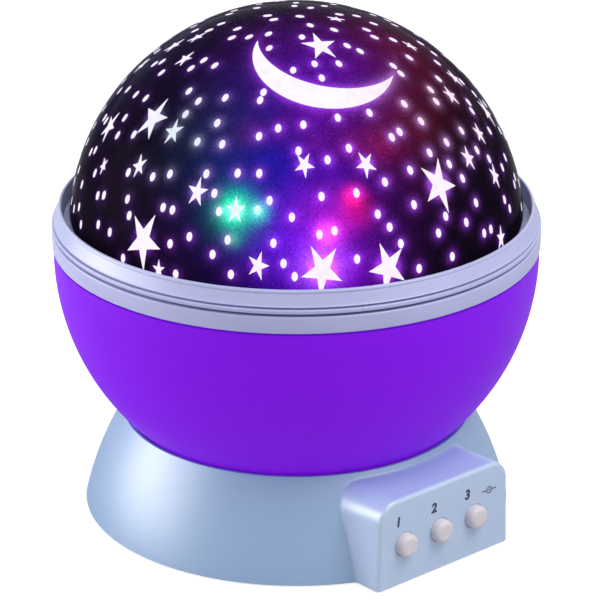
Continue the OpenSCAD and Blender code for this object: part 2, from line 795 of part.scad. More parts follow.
module door_outline(gap) {
    w = tray_in_w - 2 * door_ledge - 2 * gap;
    len_y = tray_in_len - 2 * door_ledge - 2 * gap;
    translate([-w / 2, tray_y + door_ledge + gap]) square([w, len_y]);
    translate([-lug_w / 2 + gap, tray_y + door_ledge - lug_len + gap])
        square([lug_w - 2 * gap, tray_in_len - 2 * door_ledge + 2 * lug_len - 2 * gap]);
}

door_screw_ys = [
    tray_y + door_ledge - lug_screw_out,
    tray_y + tray_in_len - door_ledge + lug_screw_out
];

module at_door_screws() {
    for (y = door_screw_ys) translate([0, y, 0]) children();
}

module bottom_cover() {
    tray_in_h = tray_top - tray_wall - plate_top;
    pad = lug_len + 3;
    color([0.6, 0.68, 0.8]) difference() {
        union() {
            translate([0, 0, foot_h]) linear_extrude(plate_t) {
                circle(r = plate_outer_r, $fn = 180);
                translate([panel_shift - (panel_w - panel_draft) / 2 + base_wall + 0.4, -panel_in + 0.2])
                    square([panel_w - panel_draft - 2 * base_wall - 0.8, panel_in]);
            }
            battery_box();
            for (s = [-1, 1])
                translate([-lug_w / 2 - 1.5, s > 0 ? tray_y + tray_in_len - 1 : tray_y - pad + 1, plate_top - eps])
                    cube([lug_w + 3, pad, lug_pad_t]);
            at_door_screws() translate([0, 0, plate_top - eps]) cylinder(r = door_boss_r, h = door_boss_h);
            translate([motor_x, motor_y, plate_top - eps])
                cylinder(r = motor_r + 0.3 + cradle_wall, h = cradle_h);
            at_strap_ends() translate([0, 0, plate_top - eps])
                cylinder(r = 2.4, h = motor_top - plate_top + eps);
            translate([idler_x, idler_y, plate_top - eps])
                cylinder(r = 4, h = large_z - part_gap - plate_top + eps);
            for (p = board_holes)
                translate([p[0], p[1], plate_top - eps]) cylinder(r = 2.2, h = board_z - plate_top - 0.02 + eps);
            translate([jack_x - jack_len, jack_y - jack_w / 2 + 0.2, plate_top - eps])
                cube([jack_len - 0.4, jack_w - 0.4, jack_z - jack_h / 2 - plate_top]);
        }
        tray_place() translate([-tray_in_w / 2, 0, plate_top]) cube([tray_in_w, tray_in_len, tray_in_h]);
        translate([0, 0, foot_h - 1]) linear_extrude(door_t + 0.1 + 1) door_outline(0);
        tray_place() translate([-tray_in_w / 2 + door_ledge, door_ledge, foot_h - 1])
            cube([tray_in_w - 2 * door_ledge, tray_in_len - 2 * door_ledge, plate_t + 2]);
        at_door_screws() translate([0, 0, foot_h]) cylinder(r = pilot_r, h = door_boss_h + plate_t);
        translate([motor_x, motor_y, plate_top]) cylinder(r = motor_r + 0.3, h = cradle_h + 1);
        at_strap_ends() translate([0, 0, motor_top - 7]) cylinder(r = pilot_r, h = 8);
        translate([idler_x, idler_y, plate_top + 4]) cylinder(r = axle_r + screw_gap, h = large_z);
        for (p = board_holes)
            translate([p[0], p[1], foot_h + 1]) cylinder(r = pilot_r, h = board_z);
        at_angles(foot_angles, foot_place)
            translate([0, 0, foot_h - 1]) cylinder(r = foot_r + 0.1, h = foot_recess + 1);
        at_angles(boss_angles, boss_place) translate([0, 0, foot_h - 1]) {
            cylinder(r = screw_r + 0.3, h = plate_t + 2);
            cylinder(r = screw_head_r + 0.2, h = screw_head_h + 1.1);
        }
    }
}

module battery_door() {
    color([0.6, 0.68, 0.8]) difference() {
        translate([0, 0, foot_h]) linear_extrude(door_t) door_outline(door_gap);
        at_door_screws() translate([0, 0, foot_h - 1]) {
            cylinder(r = screw_r + 0.05, h = door_t + 2);
            cylinder(r = screw_head_r + 0.1, h = 1.7);
        }
    }
}

module door_screws() {
    color([0.7, 0.7, 0.72]) at_door_screws() translate([0, 0, foot_h + 0.7]) {
        translate([0, 0, -0.65]) cylinder(r = screw_head_r, h = 0.63);
        translate([0, 0, -0.1]) cylinder(r = screw_r, h = 6);
    }
}

module case_screws() {
    color([0.7, 0.7, 0.72]) at_angles(boss_angles, boss_place) screw(foot_h + screw_head_h + 0.08, 9);
}

module rubber_feet() {
    color([0.25, 0.26, 0.3]) at_angles(foot_angles, foot_place)
        cylinder(r = foot_r, h = foot_h + foot_recess - 0.02);
}

function cell_x(i) = (i - (cell_count - 1) / 2) * cell_pitch;
front_plate_y = tray_y + contact_gap;
rear_plate_y = tray_y + tray_in_len - contact_gap - contact_t;
nub_len = 1;

// Cells lie side by side and point opposite ways in turn
module battery_cells() {
    color([0.75, 0.76, 0.8]) for (i = [0 : cell_count - 1]) {
        flip = i % 2;
        front = flip == 0 ? front_plate_y + contact_t + spring_len + 0.02 : front_plate_y + contact_t + 0.02;
        translate([cell_x(i), front, cell_z]) rotate([-90, 0, 0]) {
            translate([0, 0, flip * nub_len]) cylinder(r = cell_r, h = cell_len - nub_len - 0.04);
            if (flip == 0) translate([0, 0, cell_len - nub_len - eps]) cylinder(r = 1.9, h = nub_len);
            if (flip == 1) cylinder(r = 1.9, h = nub_len + eps);
        }
    }
}

module battery_springs() {
    coil_r = 0.27;
    turns = 3;
    color([0.8, 0.8, 0.82]) for (i = [0 : cell_count - 1]) {
        y = i % 2 == 0 ? front_plate_y + contact_t : rear_plate_y;
        dir = i % 2 == 0 ? -90 : 90;
        translate([cell_x(i), y, cell_z]) rotate([dir, 0, 0]) for (k = [0 : turns - 1])
            translate([0, 0, coil_r + 0.02 + k * 1.7 * coil_r]) rotate_extrude($fn = 32)
                translate([3.4 - k * 0.25, 0]) circle(r = coil_r, $fn = 16);
    }
}

module battery_contacts() {
    plate_w = cell_pitch * 1.7;
    color([0.8, 0.8, 0.82]) for (y = [front_plate_y, rear_plate_y])
        for (k = [0 : 2 : cell_count - 2])
            translate([cell_x(k) + cell_pitch / 2 - plate_w / 2, y, cell_z - 4]) cube([plate_w, contact_t, 8]);
}

module main_board() {
    color([0.1, 0.4, 0.25]) difference() {
        translate([board_x, board_y, board_z]) cube([board_w, board_d, board_t]);
        for (p = board_holes) translate([p[0], p[1], board_z - 1]) cylinder(r = screw_r + 0.2, h = board_t + 2);
    }
}

module board_parts() {
    top = board_z + board_t + 0.02;
    color([0.15, 0.15, 0.17]) {
        translate([board_x + 12, board_y + 8, top]) cube([9, 5, 1.6]);
        translate([board_x + board_w - 5, board_y + 5, top]) cylinder(r = 2.5, h = 6);
        translate([board_x + 8, board_y + 2, top]) cube([7, 3, 2.4]);
        translate([board_x + 4, board_y + board_d - 5, top]) cube([8, 3, 2.4]);
    }
}

module board_screws() {
    color([0.7, 0.7, 0.72]) for (p = board_holes)
        translate([p[0], p[1], board_z + board_t + 0.02]) mirror([0, 0, 1]) screw(0, board_t + 1.8);
}

module button_board() {
    width = button_board_right - button_board_left;
    color([0.1, 0.4, 0.25]) difference() {
        translate([0, button_board_y + board_t, 0]) rotate([90, 0, 0]) linear_extrude(board_t) intersection() {
            translate([button_board_left, button_board_z]) square([width, button_board_h]);
            panel_section(part_gap);
        }
        at_studs() translate([0, 0, button_board_y - 1]) cylinder(r = 0.75 + 0.2, h = board_t + 2);
    }
}

module button_switches() {
    color([0.2, 0.2, 0.22]) at_buttons() difference() {
        translate([-switch_size / 2, switch_y, -switch_size / 2]) cube([switch_size, switch_depth, switch_size]);
        translate([0, switch_y - 1, 0]) rotate([-90, 0, 0])
            cylinder(r = stem_r + 0.2, h = switch_depth - switch_wall + 1);
    }
}

module button_board_screws() {
    color([0.7, 0.7, 0.72]) at_studs() {
        translate([0, 0, button_board_y + board_t + 0.02]) cylinder(r = 1.4, h = 0.8);
        translate([0, 0, button_board_y - 3]) cylinder(r = 0.75, h = board_t + 3.1);
    }
}

// Cap, flange behind the wall, and the stem that reaches into the switch
module push_button(i) {
    crown = 0.6;
    stem_len = button_travel + 0.6 + 1.2;
    color([0.86, 0.84, 0.85]) translate([button_shift + (i - 2) * button_pitch, 0, button_z])
        rotate([90, 0, 0]) {
            translate([0, 0, panel_in - flange_t - 0.05]) cylinder(r = flange_r, h = flange_t);
            translate([0, 0, panel_in - 0.2]) cylinder(r = button_r, h = base_wall + button_out - crown + 0.2);
            translate([0, 0, panel_out + button_out - crown])
                cylinder(r1 = button_r, r2 = button_r - 1.1 * crown, h = crown);
            translate([0, 0, panel_in - flange_t - stem_len]) cylinder(r = stem_r, h = stem_len);
        }
}

module button_1() { push_button(1); }
module button_2() { push_button(2); }
module button_3() { push_button(3); }

module dc_jack() {
    color([0.12, 0.12, 0.13]) {
        difference() {
            union() {
                translate([jack_x - jack_len, jack_y - jack_w / 2, jack_z - jack_h / 2])
                    cube([jack_len - 0.4, jack_w, jack_h]);
                translate([jack_x - 0.5, jack_y, jack_z]) rotate([0, 90, 0])
                    cylinder(r = jack_nose_r, h = base_wall - 0.1);
            }
            translate([jack_x - jack_len + 1.2, jack_y, jack_z]) rotate([0, 90, 0])
                cylinder(r = jack_r, h = jack_len + base_wall + 2);
        }
        translate([jack_x - jack_len + 1, jack_y, jack_z]) rotate([0, 90, 0])
            cylinder(r = jack_pin_r, h = jack_len - 1.6);
    }
}

// ---------- Wires ----------

module led_wires() {
    low = tray_top + 1;
    drop = board_z + board_t + 3.2;
    color([0.8, 0.2, 0.2]) for (i = [0 : 3]) {
        x = -2.1 + i * 1.4;
        out = x + 5.6;
        wire([
            [x, -1, post_top - 0.1], [x, -1, low], [out, -hub_bore_r - 2.4, low],
            [out + 2, tray_y - tray_wall - 3, drop + 2], [board_x + 4.6 + i * 1.4, board_y + board_d - 3.5, drop]
        ]);
    }
}

module motor_wires() {
    y = -42.5;
    z = plate_top + 3.5;
    color([0.15, 0.3, 0.8]) for (i = [0, 1]) translate([0, 0, i * wire_pitch])
        wire([
            [motor_x + 4.5, motor_y - motor_r + 0.5, plate_top + cradle_h + 1.5],
            [motor_x + 9, y, z], [board_x - 3, y, z],
            [board_x + 9.5, board_y + 3.5, board_z + board_t + 3.4]
        ]);
}

module harness_wires() {
    top = board_z + board_t + 3;
    side = tray_in_w / 2 + tray_wall;
    color([0.2, 0.2, 0.22]) {
        for (i = [0, 1]) translate([0, 0, i * wire_pitch])
            wire([
                [side + wire_r + 0.4, 4, cell_z + 2], [side + 3, -6, cell_z + 3],
                [side + 3, -12, top + 2], [board_x + 14, board_y + 12.4, top]
            ]);
        for (i = [0, 1]) translate([0, 0, i * wire_pitch])
            wire([
                [jack_x - 3, jack_y + jack_w / 2 + 0.7, jack_z], [jack_x + 1, board_y - 6, jack_z + 3],
                [board_x + board_w - 7, board_y + 14, top + 4]
            ]);
        for (i = [0 : 2]) translate([i * wire_pitch, 0, 0])
            wire([
                [1, button_board_y + board_t + 0.7, plate_top + 4], [1, board_y - 8, top + 3.4],
                [board_x - 3, board_y + 6, top + 1]
            ]);
    }
}

star_dome();
star_mask();
dome_bezel();
bowl_rim();
bowl();
reflector_plate();
plate_screws();
turntable_gear();
hub_screws();
thrust_ring();
reduction_gear();
gear_axle();
motor_pinion();
motor_shaft();
drive_motor();
motor_strap();
strap_screws();
led_post();
led_board();
leds();
led_collar();
base_shell();
bottom_cover();
battery_door();
door_screws();
case_screws();
rubber_feet();
battery_cells();
battery_springs();
battery_contacts();
main_board();
board_parts();
board_screws();
button_board();
button_switches();
button_board_screws();
button_1();
button_2();
button_3();
dc_jack();
led_wires();
motor_wires();
harness_wires();
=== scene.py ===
"""Star night light projector, dressed around its packed construction model.

A black, star-pierced layer glows under a clear dome, over a purple bowl with a silver ring.
The globe turns on a pale blue bell-shaped base with three push buttons.
Lengths in the classes are millimetres; meshes are written in metres.
"""

import logging
import math
from dataclasses import dataclass, field
from enum import Enum
from typing import Any

import bmesh
import bpy
import numpy as np
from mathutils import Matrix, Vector


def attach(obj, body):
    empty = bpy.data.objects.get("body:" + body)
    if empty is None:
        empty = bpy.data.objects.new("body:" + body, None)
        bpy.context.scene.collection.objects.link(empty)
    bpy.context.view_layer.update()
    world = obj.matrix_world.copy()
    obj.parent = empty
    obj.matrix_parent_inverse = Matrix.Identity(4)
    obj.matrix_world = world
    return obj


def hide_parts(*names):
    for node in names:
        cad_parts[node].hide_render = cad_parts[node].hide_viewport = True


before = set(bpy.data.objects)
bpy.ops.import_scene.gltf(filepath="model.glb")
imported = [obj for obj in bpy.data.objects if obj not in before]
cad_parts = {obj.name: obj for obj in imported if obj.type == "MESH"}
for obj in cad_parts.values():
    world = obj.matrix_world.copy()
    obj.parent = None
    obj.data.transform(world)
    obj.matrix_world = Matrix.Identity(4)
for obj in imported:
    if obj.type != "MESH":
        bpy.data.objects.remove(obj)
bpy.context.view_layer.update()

LOG = logging.getLogger("night_light")
MM = 0.001
Array = np.ndarray
Piece = bpy.types.Object
Material = bpy.types.Material
Tree = bpy.types.NodeTree
Glow = tuple[float, float, float, str, float]  # azimuth, elevation, spread, colour and power
GOLDEN_TURN = 137.508  # degrees between one dot of a sunflower spiral and the next


# ---- colour and nodes


def linear(hex_code: str) -> tuple[float, float, float, float]:
    """Turns an sRGB hex colour into linear red, green, blue and an alpha of one."""
    parts = [int(hex_code[i:i + 2], 16) / 255 for i in (1, 3, 5)]
    rgb = [c / 12.92 if c <= 0.04045 else ((c + 0.055) / 1.055) ** 2.4 for c in parts]
    return (rgb[0], rgb[1], rgb[2], 1.0)


def feed(tree: Tree, node: bpy.types.Node, sockets: dict[Any, Any]) -> None:
    """Sets a node's inputs.

    Args:
        tree: The node's tree.
        node: The node.
        sockets: Input name or number to a value, or to an output socket that feeds it.
    """
    for key, value in sockets.items():
        if isinstance(value, bpy.types.NodeSocket):
            tree.links.new(value, node.inputs[key])
        else:
            node.inputs[key].default_value = value


def add_node(tree: Tree, kind: str, sockets: dict[Any, Any] | None = None,
             **settings: Any) -> bpy.types.Node:
    """Adds one shader node.

    Args:
        tree: The node tree that takes the node.
        kind: The node's type, without its ShaderNode prefix.
        sockets: Its inputs, as feed takes them.
        settings: Attributes of the node, such as its operation.

    Returns:
        The new node.
    """
    made = tree.nodes.new("ShaderNode" + kind)
    for key, value in settings.items():
        setattr(made, key, value)
    feed(tree, made, sockets or {})
    return made


def show(name: str, data: Any) -> Piece:
    """Adds an object with this mesh, light or camera to the scene."""
    made = bpy.data.objects.new(name, data)
    bpy.context.scene.collection.objects.link(made)
    return made


def new_material(name: str) -> tuple[Material, Tree, bpy.types.Node]:
    """Makes a material with a bare Principled shader and returns it, its tree and the shader."""
    mat = bpy.data.materials.new(name)
    mat.use_nodes = True
    return mat, mat.node_tree, mat.node_tree.nodes["Principled BSDF"]


def fine_noise(tree: Tree, size_mm: float, detail: float = 2.0) -> bpy.types.NodeSocket:
    """Adds noise on object coordinates.

    Args:
        tree: The node tree that takes it.
        size_mm: Width of its blobs.
        detail: Number of finer layers.

    Returns:
        The socket that gives its value.
    """
    where = add_node(tree, "TexCoord").outputs["Object"]
    scale = 1.0 / (size_mm * MM)
    return add_node(tree, "TexNoise",
                    {"Vector": where, "Scale": scale, "Detail": detail}).outputs["Fac"]


# ---- finishes


@dataclass(frozen=True)
class Moulded:
    """Injection-moulded plastic: one colour with faint clouding, and a spark-eroded or polished skin.

    ABS and similar plastics have an IOR near 1.53. The skin's grain gives a soft, broken highlight.
    The glow is a painted glow: the share of its own colour that a wall gives off as light, which evens out
    its shading.
    The second, lighter colour, where there is one, is worn where the piece's own attribute of the same name
    is one: painted light, standing in for stronger light falling on that part.
    """

    name: str
    colour: str
    shade: str
    roughness: float = 0.4
    ior: float = 1.53
    grain_mm: float = 0.35
    grain_depth: float = 0.05
    cloud_mm: float = 18.0
    specular: float = 0.5
    glow: float = 0.0
    painted_light: str = ""

    def build(self) -> Material:
        """Builds the material, with clouded colour, uneven gloss and a fine grain.

        Returns:
            The material.
        """
        mat, tree, shader = new_material(self.name)
        cloud = fine_noise(tree, self.cloud_mm, 3.0)
        colour = add_node(tree, "Mix", {
            "Factor": cloud, "A": linear(self.shade), "B": linear(self.colour)},
            data_type="RGBA").outputs["Result"]
        # painted light: a lighter colour where the piece's painted-light attribute is one
        if self.painted_light:
            where = add_node(tree, "Attribute", attribute_name="painted_light").outputs["Fac"]
            colour = add_node(tree, "Mix", {"Factor": where, "A": colour, "B": linear(self.painted_light)},
                              data_type="RGBA").outputs["Result"]
        gloss = add_node(tree, "MapRange", {
            "Value": cloud, "To Min": self.roughness * 0.85, "To Max": self.roughness * 1.15})
        bump = add_node(tree, "Bump", {
            "Height": fine_noise(tree, self.grain_mm), "Strength": self.grain_depth, "Distance": 0.1 * MM})
        feed(tree, shader, {
            "Base Color": colour, "Roughness": gloss.outputs["Result"], "Normal": bump.outputs["Normal"],
            "IOR": self.ior, "Specular IOR Level": self.specular})
        # painted glow: the wall gives off its own colour as light, evening out its shading
        if self.glow:
            feed(tree, shader, {"Emission Color": colour, "Emission Strength": self.glow})
        return mat


@dataclass(frozen=True)
class ClearDome:
    """Clear polystyrene, moulded in a polished tool: see-through, with thin reflections at the edge."""

    name: str = "clear_polystyrene_polished"
    ior: float = 1.03
    roughness: float = 0.03

    def build(self) -> Material:
        """Builds the material, with faint flow ripples in its surface.

        Returns:
            The material.
        """
        mat, tree, shader = new_material(self.name)
        bump = add_node(tree, "Bump", {
            "Height": fine_noise(tree, 14.0), "Strength": 0.04, "Distance": 0.2 * MM})
        feed(tree, shader, {
            "Normal": bump.outputs["Normal"], "Base Color": linear("#FBFAFF"), "Transmission Weight": 1.0,
            "Roughness": self.roughness, "IOR": self.ior})
        return mat


@dataclass(frozen=True)
class BlackFilm:
    """Black ink printed on clear film: near black, with the lamp's colours showing faintly through.

    The glow attribute holds the light that leaks through at each point, and fine specks break it up.
    """

    name: str = "black_ink_on_film"
    speck_mm: float = 0.5

    def build(self) -> Material:
        """Builds the material, lit by its glow attribute times fine specks.

        Returns:
            The material.
        """
        mat, tree, shader = new_material(self.name)
        glow = add_node(tree, "Attribute", attribute_name="glow").outputs["Color"]
        coarse = fine_noise(tree, self.speck_mm * 9, 3.0)
        speck = add_node(tree, "MapRange", {
            "Value": fine_noise(tree, self.speck_mm, 1.0), "From Min": 0.35, "From Max": 0.7,
            "To Min": 0.8, "To Max": 1.3})
        patch = add_node(tree, "MapRange", {
            "Value": coarse, "From Min": 0.3, "From Max": 0.7, "To Min": 0.85, "To Max": 1.15})
        grain = add_node(tree, "Math", {0: speck.outputs["Result"], 1: patch.outputs["Result"]},
                         operation="MULTIPLY")
        light = add_node(tree, "VectorMath", {0: glow, "Scale": grain.outputs[0]},
                         operation="SCALE")
        feed(tree, shader, {
            "Emission Color": light.outputs["Vector"], "Emission Strength": 1.0,
            "Base Color": linear("#060308"), "Roughness": 0.35, "Specular IOR Level": 0.0})
        return mat


@dataclass(frozen=True)
class LitWindow:
    """Clear window in the black film with the lamp behind it: its tint attribute is the light's colour."""

    name: str
    strength: float = 1.0

    def build(self) -> Material:
        """Builds the material, lit by its tint attribute with a slightly cloudy brightness.

        Returns:
            The material.
        """
        mat, tree, shader = new_material(self.name)
        tint = add_node(tree, "Attribute", attribute_name="tint").outputs["Color"]
        cloud = add_node(tree, "MapRange", {
            "Value": fine_noise(tree, 2.5), "From Min": 0.3, "From Max": 0.7, "To Min": 0.94, "To Max": 1.04})
        light = add_node(tree, "VectorMath", {0: tint, "Scale": cloud.outputs["Result"]},
                         operation="SCALE")
        feed(tree, shader, {
            "Emission Color": light.outputs["Vector"], "Emission Strength": self.strength,
            "Base Color": linear("#101014"), "Specular IOR Level": 0.1})
        return mat


@dataclass(frozen=True)
class PlainMetal:
    """Small metal part, drawn, pressed or plated: fine scratches break up its gloss."""

    name: str
    colour: str
    roughness: float = 0.3
    scratch_mm: float = 0.4

    def build(self) -> Material:
        """Builds the material, with stretched noise as drawing marks.

        Returns:
            The material.
        """
        mat, tree, shader = new_material(self.name)
        where = add_node(tree, "TexCoord").outputs["Object"]
        drawn = add_node(tree, "Mapping", {"Vector": where, "Scale": (1.0, 1.0, 0.08)})
        marks = add_node(tree, "TexNoise", {
            "Vector": drawn.outputs["Vector"], "Scale": 1 / (self.scratch_mm * MM), "Detail": 2.0})
        gloss = add_node(tree, "MapRange", {
            "Value": marks.outputs["Fac"], "To Min": self.roughness * 0.7, "To Max": self.roughness * 1.4})
        feed(tree, shader, {
            "Roughness": gloss.outputs["Result"], "Base Color": linear(self.colour), "Metallic": 1.0})
        return mat


class Finish(Enum):
    """The finishes of the object, by the part that wears them."""

    RING = Moulded("silver_lilac_abs_satin", "#B4B7DF", "#AAAED7", roughness=0.3, specular=0.5)
    # the bowl's glow is painted light: the opaque wall gives off its own colour so that it looks evenly lit
    BOWL = Moulded("purple_abs_smooth", "#6C0CC2", "#680BBD", roughness=0.5, specular=0.1, glow=0.56)
    # the panel's lighter colour is painted light, standing in for the stronger light that falls on it
    BASE = Moulded("pale_blue_abs_satin", "#87A5C7", "#809FC2", roughness=0.4, ior=1.6, cloud_mm=30.0,
                   specular=1.0, painted_light="#AEC2DD")
    BUTTON = Moulded("cream_abs_satin", "#CFC9CE", "#D3CCD3", roughness=0.42)
    WHITE = Moulded("white_abs_moulded", "#F1F1F3", "#E8E8EC", roughness=0.45)
    GEAR = Moulded("acetal_moulded", "#EDE8D8", "#E4DECB", roughness=0.35, ior=1.48)
    BLACK = Moulded("black_abs_moulded", "#1B1B1D", "#141416", roughness=0.45)
    BOARD = Moulded("green_laminate_lacquered", "#1E6A40", "#185735", roughness=0.25, cloud_mm=6.0)
    WIRE = Moulded("red_pvc_extruded", "#9C2A26", "#8A2320", roughness=0.5)
    RUBBER = Moulded("grey_rubber_moulded", "#3A3C42", "#323439", roughness=0.8, grain_depth=0.2,
                     specular=0.3)
    INK = Moulded("dark_blue_ink_printed", "#3E4462", "#363B57", roughness=0.55, specular=0.2)
    STEEL = PlainMetal("zinc_plated_steel", "#C9CBD0", 0.3)
    CAN = PlainMetal("pressed_steel", "#B9BCC2", 0.35, 0.8)
    DOME = ClearDome()
    FILM = BlackFilm()
    STARS = LitWindow("lit_star_window", 1.0)


MATERIALS: dict[Finish, Material] = {}


def material(finish: Finish) -> Material:
    """The material of a finish, built the first time that it is asked for."""
    if finish not in MATERIALS:
        MATERIALS[finish] = finish.value.build()
    return MATERIALS[finish]


# ---- surfaces


def grid_quads(rows: int, cols: int, wrap_rows: bool, wrap_cols: bool) -> Array:
    """Faces of a grid of points, row by row.

    Args:
        rows: Number of rows of points.
        cols: Number of points in a row.
        wrap_rows: Whether the last row joins the first.
        wrap_cols: Whether the last point of a row joins its first.

    Returns:
        One row of four point numbers for each face.
    """
    i, j = np.meshgrid(np.arange(rows if wrap_rows else rows - 1),
                       np.arange(cols if wrap_cols else cols - 1), indexing="ij")
    i2, j2 = (i + 1) % rows, (j + 1) % cols
    return np.stack([i * cols + j, i * cols + j2, i2 * cols + j2, i2 * cols + j], axis=-1).reshape(-1, 4)


def mesh_piece(name: str, points: Array, faces: Array, sharp: float = 40.0) -> Piece:
    """Makes a closed piece from points in millimetres.

    Args:
        name: The piece's name.
        points: Its points, one row each.
        faces: Its quads.
        sharp: Edges that turn by more degrees than this stay crisp.

    Returns:
        The piece, with doubles merged and faces pointing out.
    """
    mesh = bpy.data.meshes.new(name)
    mesh.from_pydata((points * MM).tolist(), [], faces.tolist())
    work = bmesh.new()
    work.from_mesh(mesh)
    bmesh.ops.remove_doubles(work, verts=work.verts, dist=2e-6)
    bmesh.ops.dissolve_degenerate(work, edges=work.edges, dist=1e-7)
    bmesh.ops.recalc_face_normals(work, faces=work.faces)
    work.to_mesh(mesh)
    work.free()
    mesh.polygons.foreach_set("use_smooth", np.ones(len(mesh.polygons), dtype=bool))
    mesh.set_sharp_from_angle(angle=math.radians(sharp))
    return show(name, mesh)


def vertex_positions(piece: Piece) -> Array:
    """The piece's points in millimetres, one row each."""
    flat = np.zeros(len(piece.data.vertices) * 3, np.float32)
    piece.data.vertices.foreach_get("co", flat)
    return flat.reshape(-1, 3) / MM


def paint(piece: Piece, name: str, colours: Array) -> None:
    """Stores one linear colour per point of the piece under an attribute name."""
    layer = piece.data.color_attributes.new(name, "FLOAT_COLOR", "POINT")
    rgba = np.concatenate([colours, np.ones((len(colours), 1))], axis=1)
    layer.data.foreach_set("color", rgba.astype(np.float32).ravel())


def dress(piece: Piece, finish: Finish, slot: str, body: str, *nodes: str) -> Piece:
    """Gives a piece its finish and its place in the record.

    Args:
        piece: The new piece.
        finish: What it is made of.
        slot: The record's material slot; not used.
        body: The body that it moves with.
        nodes: The construction solids that it stands for.

    Returns:
        The same piece.
    """
    piece.data.materials.append(material(finish))
    if nodes:
        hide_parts(*nodes)
    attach(piece, body)
    return piece


def lathe(profile: Array, segments: int = 256) -> tuple[Array, Array]:
    """Turns a closed outline round the Z axis: (r, z) becomes (r cos a, r sin a, z).

    Args:
        profile: Outline points as (radius, height), not repeating the first.
        segments: Number of steps round the axis.

    Returns:
        Points and quads of the turned surface.
    """
    a = np.linspace(0, 2 * np.pi, segments, endpoint=False)
    r, z = profile[:, 0][:, None], profile[:, 1][:, None]
    points = np.stack([r * np.cos(a), r * np.sin(a), np.broadcast_to(z, (len(profile), segments))], axis=-1)
    return points.reshape(-1, 3), grid_quads(len(profile), segments, True, True)


def rounded_outline(corners: list[tuple[float, float, float]], steps: int = 4) -> Array:
    """A closed outline whose corners are rounded.

    Each corner (x, y, radius) becomes a quadratic curve between the two points at that distance
    along its sides: a(1-t)^2 + 2bt(1-t) + ct^2.

    Args:
        corners: Corner points with the distance at which the rounding starts.
        steps: Steps in each curve.

    Returns:
        The outline's points.
    """
    spots = np.array([c[:2] for c in corners])
    out = []
    for k, (x, y, r) in enumerate(corners):
        b, a, c = spots[k], spots[k - 1], spots[(k + 1) % len(corners)]
        if r <= 0:
            out.append(b[None])
            continue
        a2 = b + (a - b) / np.linalg.norm(a - b) * min(r, np.linalg.norm(a - b) / 2)
        c2 = b + (c - b) / np.linalg.norm(c - b) * min(r, np.linalg.norm(c - b) / 2)
        t = np.linspace(0, 1, steps + 1)[:, None]
        out.append(a2 * (1 - t) ** 2 + 2 * b * t * (1 - t) + c2 * t ** 2)
    return np.concatenate(out)


def arc(radius: float, middle_z: float, low: float, high: float, steps: int) -> Array:
    """Points of a circle about (0, middle_z) as (r, z), from one elevation in degrees to another."""
    e = np.radians(np.linspace(low, high, steps))
    return np.stack([radius * np.cos(e), middle_z + radius * np.sin(e)], axis=-1)


def heading(azimuth: Array, elevation: Array) -> Array:
    """Unit vectors from azimuth and elevation in degrees: (cos e cos a, cos e sin a, sin e)."""
    a, e = np.radians(azimuth), np.radians(elevation)
    return np.stack([np.cos(e) * np.cos(a), np.cos(e) * np.sin(a), np.sin(e)], axis=-1)


def spot(azimuth: float, elevation: float) -> Array:
    """The heading of one place on the dome, as a single row."""
    return heading(np.array([azimuth]), np.array([elevation]))


def aims_of(piece: Piece, middle_z: float) -> Array:
    """Unit vectors from the dome's middle to each point of a piece."""
    aim = vertex_positions(piece) - np.array([0, 0, middle_z])
    return aim / np.linalg.norm(aim, axis=1)[:, None]


def degrees_apart(a: Array, b: Array) -> Array:
    """Angles in degrees between each unit vector of a and each of b."""
    return np.degrees(np.arccos(np.clip(a @ b.T, -1, 1)))


# ---- star pattern


